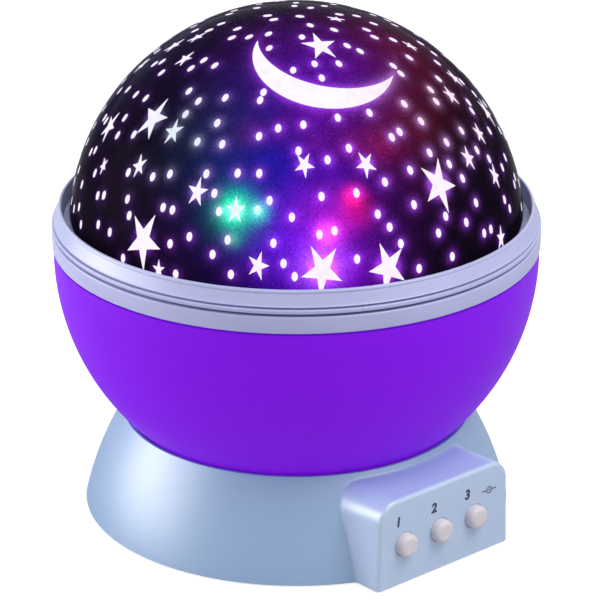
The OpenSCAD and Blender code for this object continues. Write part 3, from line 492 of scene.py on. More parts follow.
@dataclass
class StarPattern:
    """The windows of the dome: stars, a crescent and a spiral of dots, in degrees on the dome.

    Sizes are counted in parts of the dome's radius.
    """

    parts: float = 60.0
    dot_size: float = 0.95
    dot_places: int = 320
    waist: float = 0.36
    lowest_dot: float = 5.0
    jitter: float = 2.2
    wave: tuple[float, float] = (97.3, 61.7)
    moon_outer: tuple[float, float, float] = (-111.3, 69.4, 17.9)
    moon_inner: tuple[float, float, float] = (-95.8, 74.9, 18.4)
    near: list[tuple[float, float, float, float]] = field(default_factory=lambda: [
        (-111, 73, 5.6, 32), (-40, 80, 2.2, 15), (138, 64, 2.6, 54), (157, 59, 2.8, 48), (132, 57, 3, 55),
        (172, 42, 5.8, 37), (-176, 41, 3.4, 53), (150, 33, 4.2, 30), (160, 25, 2.2, 5),
        (-174, 13, 7.2, 12), (-168, 7, 2.4, 40), (-160, 28, 3.6, 36), (-148, 25, 3.3, 39),
        (-141, 12, 3.5, 20), (-129, 37, 3.2, 6), (-110, 36, 3.4, 62), (-125, 11, 6.6, 66),
        (-108, 10, 6.4, 56), (-88, 27, 6.8, 6), (-59, 45, 2.9, 10), (-43, 60, 2.2, 32),
        (-43, 46, 2.8, 65), (-59, 33, 2.9, 5), (-72, 30, 3.1, 12), (-62, 22, 3.1, 6),
        (-67, 7, 3, 25), (177, 30, 3, 62)])
    top: list[tuple[float, float, float, float]] = field(default_factory=lambda: [
        (60, 66, 3.2, 10), (15, 61, 2.6, 30), (95, 55, 2.4, 50)])
    far_turn: float = 170.0
    far_limit: float = 50.0
    far_tilt: float = 30.0
    star_reach: float = 0.8
    dot_room: float = 0.5
    moon_room: float = 0.6

    def stars(self) -> Array:
        """Stars as rows of azimuth, elevation, tip radius and tilt; the far side repeats the lower ones."""
        far = [(a + self.far_turn, e, r, t + self.far_tilt)
               for a, e, r, t in self.near if e < self.far_limit]
        return np.array(self.near + far + self.top, float)

    def dots(self) -> Array:
        """Places the dots on a golden-angle spiral, pushed by a fixed wave.

        Dot i of n stands at the turn i * 137.5 degrees and at the height that shares the dome's
        area evenly: sin(elevation) = low + (1 - low) * (i + 0.5) / n.

        Returns:
            Rows of azimuth and elevation, without those that would touch a star or the crescent.
        """
        i = np.arange(self.dot_places)
        low = math.sin(math.radians(self.lowest_dot))
        el = np.degrees(np.arcsin(low + (1 - low) * (i + 0.5) / self.dot_places))
        up, across = self.wave
        el = el + self.jitter * np.sin(np.radians(i * up))
        narrow = np.maximum(0.2, np.cos(np.radians(el)))  # a degree of turn shrinks towards the top
        az = i * GOLDEN_TURN + self.jitter * np.cos(np.radians(i * across)) / narrow
        aim = heading(az, el)
        stars = self.stars()
        unit = math.degrees(1) / self.parts
        room = (stars[:, 2] * self.star_reach + self.dot_size + self.dot_room) * unit
        free = (degrees_apart(aim, heading(stars[:, 0], stars[:, 1])) >= room).all(axis=1)
        edge = (self.dot_size + self.moon_room) * unit
        out = degrees_apart(aim, spot(*self.moon_outer[:2]))[:, 0]
        inn = degrees_apart(aim, spot(*self.moon_inner[:2]))[:, 0]
        free &= (out > self.moon_outer[2] + edge) | (inn < self.moon_inner[2] - edge)
        free &= el > self.lowest_dot
        return np.stack([az, el], axis=-1)[free]


@dataclass
class LampLight:
    """Where the light beads' colours fall on the dome: azimuth, elevation, spread, colour and power."""

    beads: list[Glow] = field(default_factory=lambda: [
        (-148, 25, 3.5, "#E6FFF6", 0.9), (-141, 24, 3.0, "#BCFFEE", 0.8), (-146, 18, 3.0, "#DCFFF6", 0.7),
        (-172, 40, 13, "#D4ECF4", 0.7), (-72, 46, 17, "#FFD4E4", 0.6)])
    glows: list[Glow] = field(default_factory=lambda: [
        (-148.2, 25, 3.6, "#00F09A", 1.3), (-141.7, 25.0, 2.2, "#08D8A0", 1.0),
        (-147.5, 18.0, 1.8, "#10B880", 0.6), (-125, 12, 4.8, "#C860FF", 1.2),
        (-123.5, 20.2, 2.2, "#F458F0", 1.1), (-115.5, 28.5, 2.3, "#F81848", 1.2),
        (-108, 11, 3.4, "#8A30F0", 0.3)])
    clouds: list[Glow] = field(default_factory=lambda: [
        (0, 90, 400, "#0A050F", 1.0),
        (-138, 30, 16, "#0A0880", 1.0), (-130, 42, 14, "#040062", 1.0),
        (-129, 15, 13, "#5A0CC8", 1.0), (-124, 24, 8, "#80107A", 1.0), (-119, 10, 7, "#5A0088", 1.0),
        (-122.5, 20.5, 3.6, "#B01868", 1.0), (-115.5, 25, 4.2, "#A80018", 1.0),
        (-111, 14, 10, "#28003C", 1.0),
        (-112, 62, 14, "#3C007A", 1.0), (-125, 75, 16, "#300340", 1.0), (-122, 51, 8, "#480046", 1.0),
        (-150, 60, 16, "#1A0850", 1.0), (-115, 34, 8, "#2C0058", 1.0), (-100, 30, 10, "#240030", 1.0),
        (-148.5, 24.5, 6, "#007338", 1.0), (-160, 40, 14, "#041C28", 1.0), (-165, 13, 14, "#0B021A", 1.0),
        (-148, 45, 4, "#3C0410", 1.0), (-137, 46, 4, "#3C0410", 1.0), (-125, 42, 4, "#4A0614", 1.0),
        (-114, 41, 4, "#580818", 1.0), (-104, 40, 5, "#60081C", 1.0), (-92, 46, 12, "#4C0A14", 1.0),
        (-60, 62, 16, "#480818", 1.0), (20, 25, 26, "#2A0A70", 0.8), (70, 15, 24, "#4A0A50", 0.8),
        (110, 40, 24, "#0C1048", 0.6)])

    def soft_spot(self, aim: Array, az: float, el: float, spread: float, power: float) -> Array:
        """Light at each point from one soft round spot: power * exp(-(degrees from it / spread)^2)."""
        return power * np.exp(-(degrees_apart(aim, spot(az, el)) / spread) ** 2)

    def on_windows(self, aim: Array, base: str) -> Array:
        """Draws the windows' colour towards a bead's colour close to it.

        Args:
            aim: Unit vectors to the points.
            base: The windows' own colour.

        Returns:
            One linear colour per point.
        """
        colour = np.tile(np.array(linear(base)[:3]), (len(aim), 1))
        for az, el, spread, hue, power in self.beads:
            w = self.soft_spot(aim, az, el, spread, power)
            colour = colour * (1 - w) + np.array(linear(hue)[:3]) * w
        return colour

    def on_film(self, aim: Array) -> Array:
        """Adds up the soft round clouds of light that leak through the ink.

        Args:
            aim: Unit vectors to the points.

        Returns:
            One linear colour per point.
        """
        glow = np.zeros((len(aim), 3))
        for az, el, spread, hue, power in self.clouds + self.glows:
            w = self.soft_spot(aim, az, el, spread, power)
            glow += w * np.array(linear(hue)[:3])
        return glow


def window_patches(aims: Array, tilts: Array, outline: Array, sizes: Array, shape: tuple[float, float],
                   radii: tuple[float, float], middle_z: float) -> tuple[Array, Array]:
    """Small closed plates on a sphere, all of one outline.

    A plate's outline is turned by its tilt and scaled to its size, then drawn out along the
    dome's slope. Its point at share s lies along aim + s * (x down + y along), pushed onto the
    outer or the inner sphere.

    Args:
        aims: Unit vectors of the plates' middles.
        tilts: Turn of each plate in degrees.
        outline: Flat outline points, about one across.
        sizes: Each plate's radius as a share of the sphere's.
        shape: Factors of the height and the width of every plate.
        radii: Outer and inner radius of the plates.
        middle_z: Height of the spheres' middle.

    Returns:
        Points and quads of all the plates.
    """
    up = np.array([0.0, 0.0, 1.0])
    down = aims * (aims @ up)[:, None] - up
    down /= np.linalg.norm(down, axis=1)[:, None]
    along = np.cross(aims, down)
    t = np.radians(tilts)[:, None]
    x = (outline[None, :, 0] * np.cos(t) - outline[None, :, 1] * np.sin(t)) * sizes[:, None] * shape[0]
    y = (outline[None, :, 0] * np.sin(t) + outline[None, :, 1] * np.cos(t)) * sizes[:, None] * shape[1]
    flat = x[..., None] * down[:, None] + y[..., None] * along[:, None]
    share = np.linspace(0, 1, 6)
    share[0] = 1e-3
    shares = np.concatenate([share, share[::-1]])
    levels = np.repeat(np.array(radii), len(share))
    way = aims[:, None, None] + shares[None, :, None, None] * flat[:, None]
    way /= np.linalg.norm(way, axis=-1, keepdims=True)
    points = way * levels[None, :, None, None] + np.array([0, 0, middle_z])
    rows, cols = len(shares), len(outline)
    quads = grid_quads(rows, cols, True, True)
    faces = (quads[None] + (np.arange(len(aims)) * rows * cols)[:, None, None]).reshape(-1, 4)
    return points.reshape(-1, 3), faces


def out_of_panel(points: Array) -> Array:
    """Turns points that rise along Z so that they stand out of the panel's face, along -Y."""
    return points[:, [0, 2, 1]] * np.array([1, -1, 1])


def denser(outline: Array, steps: int) -> Array:
    """The closed outline with each side cut into equal steps."""
    t = np.arange(steps)[None, :, None] / steps
    return (outline[:, None] * (1 - t) + np.roll(outline, -1, axis=0)[:, None] * t).reshape(-1, 2)


# ---- sub-assemblies


class SubAssembly:
    """A group of pieces that are made and reported together."""

    def pieces(self) -> list[Piece]:
        """Makes and dresses the pieces; each kind of sub-assembly says how."""
        raise NotImplementedError

    def build(self) -> None:
        """Makes the sub-assembly and reports each of its pieces."""
        for piece in self.pieces():
            LOG.info("%s: %d faces", piece.name, len(piece.data.polygons))


@dataclass
class DomeCover(SubAssembly):
    """The lift-off cover: clear dome, black star layer with its windows, and the tapered ring."""

    ring_r: float = 65.0
    dome_r: float = 60.6
    dome_foot: float = 0.95
    mask_r: float = 58.9
    mask_t: float = 0.4
    mask_foot: float = 1.0
    bond: float = 0.1
    middle_z: float = 77.8
    bezel_z: float = 79.8
    bezel_h: float = 6.1
    moat_r: float = 62.3
    pattern: StarPattern = field(default_factory=StarPattern)
    lamp: LampLight = field(default_factory=LampLight)
    window_proud: float = 0.12
    star_shape: tuple[float, float] = (1.13, 0.84)
    dot_shape: tuple[float, float] = (1.28, 0.86)
    window_light: str = "#FFF6FF"
    moon_light: str = "#FFFBFF"
    halo_mm: float = 0.75
    halo_light: str = "#A83CF0"
    halo_middle: tuple[float, float] = (-112.0, 34.0)
    halo_spread: float = 42.0
    halo_least: float = 0.12
    halo_star: float = 0.75
    halo_moon: float = 0.9
    halo_moon_width: float = 1.4

    def shell(self) -> Piece:
        """The clear dome: outer and inner part-spheres joined by a small foot.

        Its inner face lies just inside the black layer's outer face, since the ink is bonded to it.

        Returns:
            The dome.
        """
        foot_z = self.bezel_z + self.dome_foot
        r_in = self.mask_r - self.bond
        low_out = math.degrees(math.asin((foot_z + 1 - self.middle_z) / self.dome_r))
        low_in = math.degrees(math.asin((foot_z - self.middle_z) / r_in))
        outer = arc(self.dome_r, self.middle_z, low_out, 90, 90)
        inner = arc(r_in, self.middle_z, 90, low_in, 90)
        foot = np.array([[self.moat_r - 0.4, foot_z], [self.moat_r - 0.4, foot_z + 0.9]])
        piece = mesh_piece("clear_dome", *lathe(np.concatenate([outer, inner, foot])))
        return dress(piece, Finish.DOME, "clear_dome", "cover", "star_dome")

    def film(self) -> Piece:
        """The black layer: a thin part-sphere, painted with the light that leaks through it.

        Returns:
            The layer.
        """
        foot_z = self.bezel_z + self.mask_foot
        low = math.degrees(math.asin((foot_z - self.middle_z) / self.mask_r))
        r_in = self.mask_r - self.mask_t
        low_in = math.degrees(math.asin((foot_z - self.middle_z) / r_in))
        outline = np.concatenate([arc(self.mask_r, self.middle_z, low, 90, 150),
                                  arc(r_in, self.middle_z, 90, low_in, 30)])
        piece = mesh_piece("star_film", *lathe(outline, 500))
        aim = aims_of(piece, self.middle_z)
        paint(piece, "glow", self.lamp.on_film(aim) + self.halo(aim))
        return dress(piece, Finish.FILM, "black_layer", "cover", "star_mask")

    def halo(self, aim: Array) -> Array:
        """Soft violet light round each window, fading with distance from its edge.

        The brightness is exp(-distance / halo_mm) from the nearest star or dot, and likewise from
        the crescent's two circles.

        Args:
            aim: Unit vectors to the points.

        Returns:
            One linear colour per point.
        """
        stars, dots = self.pattern.stars(), self.pattern.dots()
        spots = np.concatenate([heading(stars[:, 0], stars[:, 1]), heading(dots[:, 0], dots[:, 1])])
        reach = np.concatenate([stars[:, 2] * 0.5, np.full(len(dots), self.pattern.dot_size)])
        to_mm = math.pi / 180 * self.mask_r
        gap = (degrees_apart(aim, spots) * to_mm - reach).min(axis=1)
        light = self.halo_star * np.exp(-np.maximum(gap, 0) / self.halo_mm)
        outer, inner = self.pattern.moon_outer, self.pattern.moon_inner
        out, inn = (degrees_apart(aim, spot(*circle[:2]))[:, 0] for circle in (outer, inner))
        moon_gap = np.maximum(out - outer[2], inner[2] - inn) * to_mm
        fade = np.exp(-np.maximum(moon_gap, 0) / (self.halo_moon_width * self.halo_mm))
        light = np.maximum(light, self.halo_moon * fade)
        hue = self.lamp.on_windows(aim, self.halo_light)
        rise = self.lamp.soft_spot(aim, *self.halo_middle, self.halo_spread, 1 - self.halo_least)
        return light[:, None] * hue * (self.halo_least + rise)

    def windows(self) -> list[Piece]:
        """Star, dot and crescent windows, set in the black layer and a hair proud of both its faces.

        Returns:
            One piece for each kind of window.
        """
        radii = (self.mask_r + self.window_proud, self.mask_r - self.mask_t - self.window_proud)
        stars, dots = self.pattern.stars(), self.pattern.dots()
        k = np.arange(10)
        tips = np.where(k % 2 == 0, 1.0, self.pattern.waist)
        star = denser(np.stack([tips * np.cos(k * np.pi / 5), tips * np.sin(k * np.pi / 5)], axis=-1), 3)
        ring = np.linspace(0, 2 * np.pi, 14, endpoint=False)
        disc = np.stack([np.cos(ring), np.sin(ring)], axis=-1)
        star_aims, dot_aims = heading(stars[:, 0], stars[:, 1]), heading(dots[:, 0], dots[:, 1])
        parts = self.pattern.parts
        dot_sizes = np.full(len(dots), self.pattern.dot_size / parts)
        made = [
            mesh_piece("star_windows", *window_patches(
                star_aims, stars[:, 3], star, stars[:, 2] / parts, self.star_shape, radii, self.middle_z)),
            mesh_piece("dot_windows", *window_patches(
                dot_aims, np.zeros(len(dots)), disc, dot_sizes, self.dot_shape, radii, self.middle_z)),
            mesh_piece("moon_window", *self.moon(*radii)),
        ]
        for piece, base in zip(made, (self.window_light, self.window_light, self.moon_light)):
            paint(piece, "tint", self.lamp.on_windows(aims_of(piece, self.middle_z), base))
            dress(piece, Finish.STARS, "clear_dome", "cover")
        return made

    def moon(self, r_out: float, r_in: float) -> tuple[Array, Array]:
        """The crescent: between the outer circle's arc and the inner circle's arc.

        Both circles lie on the sphere. Points of the outer arc that fall outside the inner circle
        run from tip to tip; the inner arc runs the same way, and a share s goes between them.

        Args:
            r_out: Radius of the outer sphere.
            r_in: Radius of the inner sphere.

        Returns:
            Points and quads of the closed plate.
        """
        steps, across = 72, 8
        arcs = []
        for circle, other in ((self.pattern.moon_outer, self.pattern.moon_inner),
                              (self.pattern.moon_inner, self.pattern.moon_outer)):
            c, d = spot(*circle[:2])[0], spot(*other[:2])[0]
            u = d - c * (c @ d)
            u /= np.linalg.norm(u)
            w = np.cross(c, u)
            rho = math.radians(circle[2])
            cut = (math.cos(math.radians(other[2])) - math.cos(rho) * (c @ d)) / (math.sin(rho) * (u @ d))
            tip = math.acos(max(-1.0, min(1.0, cut)))
            if circle is self.pattern.moon_outer:
                turn = np.linspace(tip, 2 * np.pi - tip, steps)
            else:
                turn = np.linspace(tip, -tip, steps)
            sideways = np.cos(turn)[:, None] * u + np.sin(turn)[:, None] * w
            arcs.append(c * math.cos(rho) + math.sin(rho) * sideways)
        outer, inner = arcs
        if np.linalg.norm(outer[0] - inner[0]) > np.linalg.norm(outer[0] - inner[-1]):
            inner = inner[::-1]
        s = np.linspace(0, 1, across)[:, None, None]
        band = outer[None] * (1 - s) + inner[None] * s
        band /= np.linalg.norm(band, axis=-1, keepdims=True)
        loop = np.concatenate([band * r_out, band[::-1] * r_in])
        points = loop + np.array([0, 0, self.middle_z])
        return points.reshape(-1, 3), grid_quads(2 * across, steps, True, False)

    def bezel(self) -> Piece:
        """The tapered ring: bead, hairline groove, taper and rounded lip, with the moat inside it.

        Returns:
            The ring.
        """
        z, r, top, moat = self.bezel_z, self.ring_r, self.bezel_z + self.bezel_h, self.moat_r
        outline = rounded_outline([
            (59.4, z, 0.2), (57.7, z, 0), (57.7, z + 0.9, 0), (moat, z + 0.9, 0.3), (moat, top, 0.45),
            (moat + 0.75, top, 0.4), (moat + 1.0, top - 0.6, 0.1), (moat + 0.85, top - 0.85, 0.05),
            (r - 1.45, top - 1.75, 0.4), (r - 0.7, top - 3.7, 1.0),
            (r - 0.35, z + 2.0, 0.12), (r - 1.4, z + 1.85, 0.1), (r - 1.4, z + 1.5, 0.1),
            (r, z + 1.4, 0.35), (r, z + 0.35, 0.2), (r - 1.0, z + 0.3, 0.05), (r - 1.0, z, 0.05),
            (61.5, z, 0.2), (61.5, z - 3.4, 0.3), (59.5, z - 3.4, 0.3)])
        piece = mesh_piece("tapered_ring", *lathe(outline, 320), sharp=50)
        return dress(piece, Finish.RING, "silver_ring", "cover", "dome_bezel")

    def pieces(self) -> list[Piece]:
        """Clear dome, black layer, windows and tapered ring."""
        return [self.shell(), self.film(), *self.windows(), self.bezel()]


@dataclass
class Globe(SubAssembly):
    """The lower half of the globe: purple bowl and the straight silver band."""

    ring_r: float = 65.0
    bowl_r: float = 64.7
    bowl_wall: float = 2.0
    middle_z: float = 72.7
    band_z: float = 74.8
    band_h: float = 4.6
    band_gap: float = 0.6
    floor_z: float = 24.5
    hub_bore_r: float = 8.2

    def bowl(self) -> Piece:
        """The bowl: part-spheres outside and inside, with a flat floor and the hole for the lamp post.

        Returns:
            The bowl.
        """
        edge = self.band_z - self.band_gap
        inner_r = self.bowl_r - self.bowl_wall
        low = math.degrees(math.asin((self.floor_z - self.middle_z) / self.bowl_r))
        high = math.degrees(math.asin((edge - self.middle_z) / self.bowl_r))
        high_in = math.degrees(math.asin((edge - self.middle_z) / inner_r))
        floor_top = self.floor_z + self.bowl_wall
        low_in = math.degrees(math.asin((floor_top - self.middle_z) / inner_r))
        bore = np.array([[self.hub_bore_r, floor_top], [self.hub_bore_r, self.floor_z]])
        outline = np.concatenate([arc(self.bowl_r, self.middle_z, low, high, 90),
                                  arc(inner_r, self.middle_z, high_in, low_in, 60), bore])
        piece = mesh_piece("purple_bowl", *lathe(outline, 320))
        return dress(piece, Finish.BOWL, "purple_bowl", "globe", "bowl")

    def band(self) -> Piece:
        """The straight band, with softened edges and a skirt inside the bowl.

        Returns:
            The band.
        """
        z, top, r = self.band_z, self.band_z + self.band_h, self.ring_r
        outline = rounded_outline([
            (r - 3.2, z - 3.4, 0.2), (62.45, z - 3.4, 0.2), (62.45, z, 0.1), (r, z, 0.4), (r, top, 0.5),
            (r - 3.2, top, 0.2)])
        piece = mesh_piece("silver_band", *lathe(outline, 320), sharp=50)
        return dress(piece, Finish.RING, "silver_ring", "globe", "bowl_rim")

    def pieces(self) -> list[Piece]:
        """Bowl and straight band."""
        return [self.bowl(), self.band()]


@dataclass
class BaseHousing(SubAssembly):
    """The bell-shaped base with the control panel moulded on, its buttons and its printed marks."""

    foot_r: float = 57.6
    rim_r: float = 46.9
    swell: float = 1.2
    low: float = 0.6
    top: float = 26.8
    wall: float = 2.0
    deck_z: float = 21.5
    deck_t: float = 2.0
    hub_r: float = 17.06
    panel_x: float = -1.5
    panel_half: float = 23.5
    panel_draft: float = 0.8
    panel_out: float = 60.2
    panel_top: float = 25.0
    panel_root: float = 12.0
    # width over which the panel's painted light fades into the bell
    panel_light_fade: float = 1.2
    corner_front: float = 5.5
    corner_back: float = 7.0
    edge: float = 1.1
    blend: float = 0.8
    eye_z: float = -30.0
    button_xs: tuple[float, float, float] = (-15.7, -3.2, 9.3)
    button_z: float = 11.8
    button_r: float = 3.25
    button_out: float = 2.5
    button_gap: float = 0.12
    socket: tuple[float, float] = (-54.1, 9.0)
    socket_r: float = 3.7
    number_xs: tuple[float, float, float] = (-18.1, -5.4, 6.6)
    number_z: float = 18.6
    number_h: float = 2.7
    sign: tuple[float, float] = (14.6, 17.7)
    ink_t: float = 0.06
    hole_half: float = 6.0
    socket_half: float = 5.0
    steps_round: int = 720
    crowding: tuple[float, float] = (0.32, 0.1)

    def bell_radius(self, z: Array) -> Array:
        """Radius of the bell side at height z: a straight taper plus swell * 4t(1-t)."""
        t = (z - self.low) / (self.top - self.low)
        return self.foot_r + (self.rim_r - self.foot_r) * t + self.swell * 4 * t * (1 - t)

    def forms(self, p: Array) -> tuple[Array, Array]:
        """Signed distance-like values from the bell and from the panel, negative inside them.

        The panel is a box rounded by r in its front outline and by the edge radius at its face:
        round(a, b, r) = |max(a+r, 0), max(b+r, 0)| - r + min(max(a, b) + r, 0).

        Args:
            p: Points, with x, y and z along the last axis.

        Returns:
            The value from the bell and the value from the panel, at each point.
        """
        def rounded(a: Array, b: Array, r: Array | float) -> Array:
            """Joins two plane distances with a round corner of radius r."""
            return (np.hypot(np.maximum(a + r, 0), np.maximum(b + r, 0)) - r
                    + np.minimum(np.maximum(a, b) + r, 0))
        x, y, z = p[..., 0], p[..., 1], p[..., 2]
        slope = math.cos(math.atan2(self.foot_r - self.rim_r, self.top - self.low))
        bell = (np.hypot(x, y) - self.bell_radius(z)) * slope
        back = np.clip((y + self.panel_out) / (self.panel_out - self.rim_r), 0, 1)
        side = np.abs(x - self.panel_x) - (self.panel_half - self.panel_draft * z / self.panel_top)
        lid = z - self.panel_top
        corner = self.corner_front + (self.corner_back - self.corner_front) * back
        panel = rounded(rounded(side, lid, corner), -self.panel_out - y, self.edge)
        return bell, np.maximum(panel, y + self.rim_r - self.panel_root)

    def distance(self, p: Array) -> Array:
        """Smooth union of bell and panel: the lesser of the two, with a fillet of the blend size."""
        bell, panel = self.forms(p)
        h = np.clip(0.5 + 0.5 * (panel - bell) / self.blend, 0, 1)
        return panel * (1 - h) + bell * h - self.blend * h * (1 - h)

    def crossing(self, start: Array, aim: Array, depth: float = 0.0, near: float = 20.0,
                 far: float = 95.0) -> Array:
        """Finds where rays meet the base's skin, by halving the interval 30 times.

        Args:
            start: Where each ray starts.
            aim: Its unit vector.
            depth: How far below the skin the wanted points lie.
            near: A length along the ray that is inside.
            far: A length along the ray that is outside.

        Returns:
            One point per ray.
        """
        a = np.full(start.shape[:-1], near)
        b = np.full(start.shape[:-1], far)
        for _ in range(30):
            m = (a + b) / 2
            inside = self.distance(start + aim * m[..., None]) < -depth
            a, b = np.where(inside, m, a), np.where(inside, b, m)
        return start + aim * a[..., None]

    def columns(self) -> Array:
        """Angles round the axis: even steps u, less a sin u + b sin 2u, which crowds them at the panel."""
        u = np.linspace(0, 2 * np.pi, self.steps_round, endpoint=False)
        once, twice = self.crowding
        return -np.pi / 2 + u - (once * np.sin(u) + twice * np.sin(2 * u))

    def shell(self) -> Piece:
        """The housing as one closed wall.

        Rays from a point below the floor meet the outer surface at rows of even slope. The profile
        goes on over the rim, down to the deck, through the hub hole, and down the inside.

        Returns:
            The housing, with its holes cut.
        """
        turn = self.columns()
        flat = np.stack([np.cos(turn), np.sin(turn), np.zeros_like(turn)], axis=-1)
        foot = self.crossing(np.array([0, 0, self.low]) + flat * 0, flat)
        start = np.array([0.0, 0.0, self.eye_z])
        low = np.arctan2(self.low - self.eye_z, np.hypot(foot[:, 0], foot[:, 1]))
        high = math.atan2(self.top - self.eye_z, self.rim_r)
        share = np.linspace(0, 1, 96)[:, None]
        slope = low[None] + (high - low[None]) * share
        aim = flat[None] * np.cos(slope)[..., None] + np.array([0, 0, 1.0]) * np.sin(slope)[..., None]
        outer = self.crossing(start + aim * 0, aim)
        lip = [(self.rim_r - 0.12, self.top + 0.0), (self.rim_r - 0.35, self.top + 0.0),
               (self.rim_r - 0.85, self.top - 0.05), (self.rim_r - 1.0, self.top - 0.3),
               (self.rim_r - 1.0, self.deck_z + self.deck_t), (self.hub_r, self.deck_z + self.deck_t),
               (self.hub_r, self.deck_z), (self.rim_r - 3.0, self.deck_z)]
        over = np.stack([flat * r + np.array([0, 0, z]) for r, z in lip])
        heights = np.linspace(self.deck_z - 0.5, self.low, 10)
        level = np.stack([np.array([0, 0, z]) + flat * 0 for z in heights])
        inside = self.crossing(level, np.broadcast_to(flat, level.shape), self.wall)
        points = np.concatenate([outer, over, inside])
        piece = mesh_piece("base_housing", points.reshape(-1, 3),
                           grid_quads(len(points), len(turn), True, True), sharp=35)
        self.pierce(piece)
        # painted light: the panel is painted lighter than the bell
        self.paint_panel_light(piece)
        return dress(piece, Finish.BASE, "blue_base", "base", "base_shell")

    def pierce(self, piece: Piece) -> None:
        """Cuts the button holes and the power socket's hole through the wall.

        Args:
            piece: The housing.
        """
        cutters = []
        for k, x in enumerate(self.button_xs):
            cutters.append(self.rod(f"cutter_{k}", (x, -self.panel_out, self.button_z), "y",
                                    self.button_r + self.button_gap, self.hole_half))
        y, z = self.socket
        side = self.panel_x + self.panel_half
        cutters.append(self.rod("cutter_socket", (side, y, z), "x", self.socket_r, self.socket_half))
        for cutter in cutters:
            cut = piece.modifiers.new("hole", "BOOLEAN")
            cut.operation, cut.object, cut.solver = "DIFFERENCE", cutter, "MANIFOLD"
        graph = bpy.context.evaluated_depsgraph_get()
        holed = bpy.data.meshes.new_from_object(piece.evaluated_get(graph))
        piece.modifiers.clear()
        piece.data = holed
        holed.materials.clear()
        holed.polygons.foreach_set("material_index", np.zeros(len(holed.polygons), np.int32))
        holed.set_sharp_from_angle(angle=math.radians(35))
        for cutter in cutters:
            bpy.data.objects.remove(cutter)

    def paint_panel_light(self, piece: Piece) -> None:
        """Marks the panel for painted light, fading over the fillet: its flat walls are painted lighter than
        the bell's, standing in for the stronger light that falls on them.
        """
        bell, panel = self.forms(vertex_positions(piece))
        share = np.clip(0.5 + (bell - panel) / self.panel_light_fade, 0, 1)
        paint(piece, "painted_light", np.repeat(share[:, None], 3, axis=1))

    def rod(self, name: str, middle: tuple[float, float, float], axis: str, radius: float,
            half: float) -> Piece:
        """A closed round rod, used to cut a hole.

        Args:
            name: Its name.
            middle: The point at its middle.
            axis: The axis that it runs along, "x" or "y".
            radius: Its radius.
            half: Half of its length.

        Returns:
            The rod.
        """
        outline = np.array([[0, -half], [radius, -half], [radius, half], [0, half]], float)
        points, faces = lathe(outline, 48)
        order = [2, 1, 0] if axis == "x" else [0, 2, 1]
        return mesh_piece(name, points[:, order] + np.array(middle), faces)

    def button(self, k: int) -> Piece:
        """One push button: a round cap with a soft bevel and slight crown, its flange and its stem.

        Args:
            k: Its place in the row, from 0 at the left.

        Returns:
            The button.
        """
        face, tip = self.panel_out, self.panel_out + self.button_out
        r = self.button_r
        back = face - self.wall
        outline = rounded_outline([
            (0, tip - 0.06, 0), (r * 0.72, tip, 0.6), (r - 0.15, tip - 0.75, 0.5), (r, face - 0.4, 0.3),
            (r, back - 0.05, 0), (4.2, back - 0.05, 0.1), (4.2, back - 1.25, 0.1), (1.4, back - 1.25, 0),
            (1.4, back - 4.5, 0.1), (0, back - 4.5, 0)])
        points, faces = lathe(outline, 64)
        place = out_of_panel(points) + np.array([self.button_xs[k], 0, self.button_z])
        piece = mesh_piece(f"push_button_{k + 1}", place, faces, sharp=50)
        body = ("first_button", "second_button", "third_button")[k]
        return dress(piece, Finish.BUTTON, "cream_button", body, f"button_{k + 1}")

    def number(self, text: str, x: float) -> Piece:
        """A printed number on the panel's face, as a thin raised layer of ink.

        Args:
            text: The number.
            x: Its middle along the face.

        Returns:
            The number.
        """
        curve = bpy.data.curves.new("number", "FONT")
        # a figure of this font stands 1 / 1.37 of its size high; the offset thickens its strokes
        curve.body, curve.size, curve.shear = text, self.number_h * 1.37 * MM, 0.12
        curve.extrude, curve.offset = self.ink_t / 2 * MM, 0.16 * MM
        curve.align_x, curve.align_y = "CENTER", "CENTER"
        temp = bpy.data.objects.new("number", curve)
        mesh = bpy.data.meshes.new_from_object(temp)
        bpy.data.objects.remove(temp)
        piece = show(f"number_{text}", mesh)
        place = out_of_panel(vertex_positions(piece))
        place += np.array([x, -self.panel_out - 0.01, self.number_z])
        mesh.vertices.foreach_set("co", (place * MM).astype(np.float32).ravel())
        return piece

    def marks(self) -> list[Piece]:
        """The numbers beside the buttons and a plain socket sign: a dot in a ring between two dashes.

        Returns:
            One piece for each mark.
        """
        made = [self.number(str(k + 1), x) for k, x in enumerate(self.number_xs)]
        x, z = self.sign
        parts = []
        for r_in, r_out in ((0.0, 0.28), (0.75, 1.0)):
            ring = np.array([[r_in, 0], [r_out, 0], [r_out, self.ink_t], [r_in, self.ink_t]], float)
            points, faces = lathe(ring, 32)
            parts.append((out_of_panel(points) + np.array([x, -self.panel_out, z]), faces))
        dash = np.stack(np.meshgrid([0, 1.3], [0, -self.ink_t], [-0.13, 0.13], indexing="ij"), axis=-1)
        quads = np.array([[0, 1, 3, 2], [4, 6, 7, 5], [0, 4, 5, 1], [2, 3, 7, 6], [0, 2, 6, 4], [1, 5, 7, 3]])
        for start in (-2.5, 1.2):
            parts.append((dash.reshape(-1, 3) + np.array([x + start, -self.panel_out, z]), quads))
        counts = np.cumsum([0] + [len(p) for p, _ in parts])
        points = np.concatenate([p for p, _ in parts])
        faces = np.concatenate([f + n for (_, f), n in zip(parts, counts)])
        made.append(mesh_piece("socket_sign", points, faces))
        for piece in made:
            piece.data.materials.append(material(Finish.INK))
            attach(piece, "base")
        return made

    def pieces(self) -> list[Piece]:
        """Housing, buttons and printed marks."""
        return [self.shell(), *(self.button(k) for k in range(3)), *self.marks()]


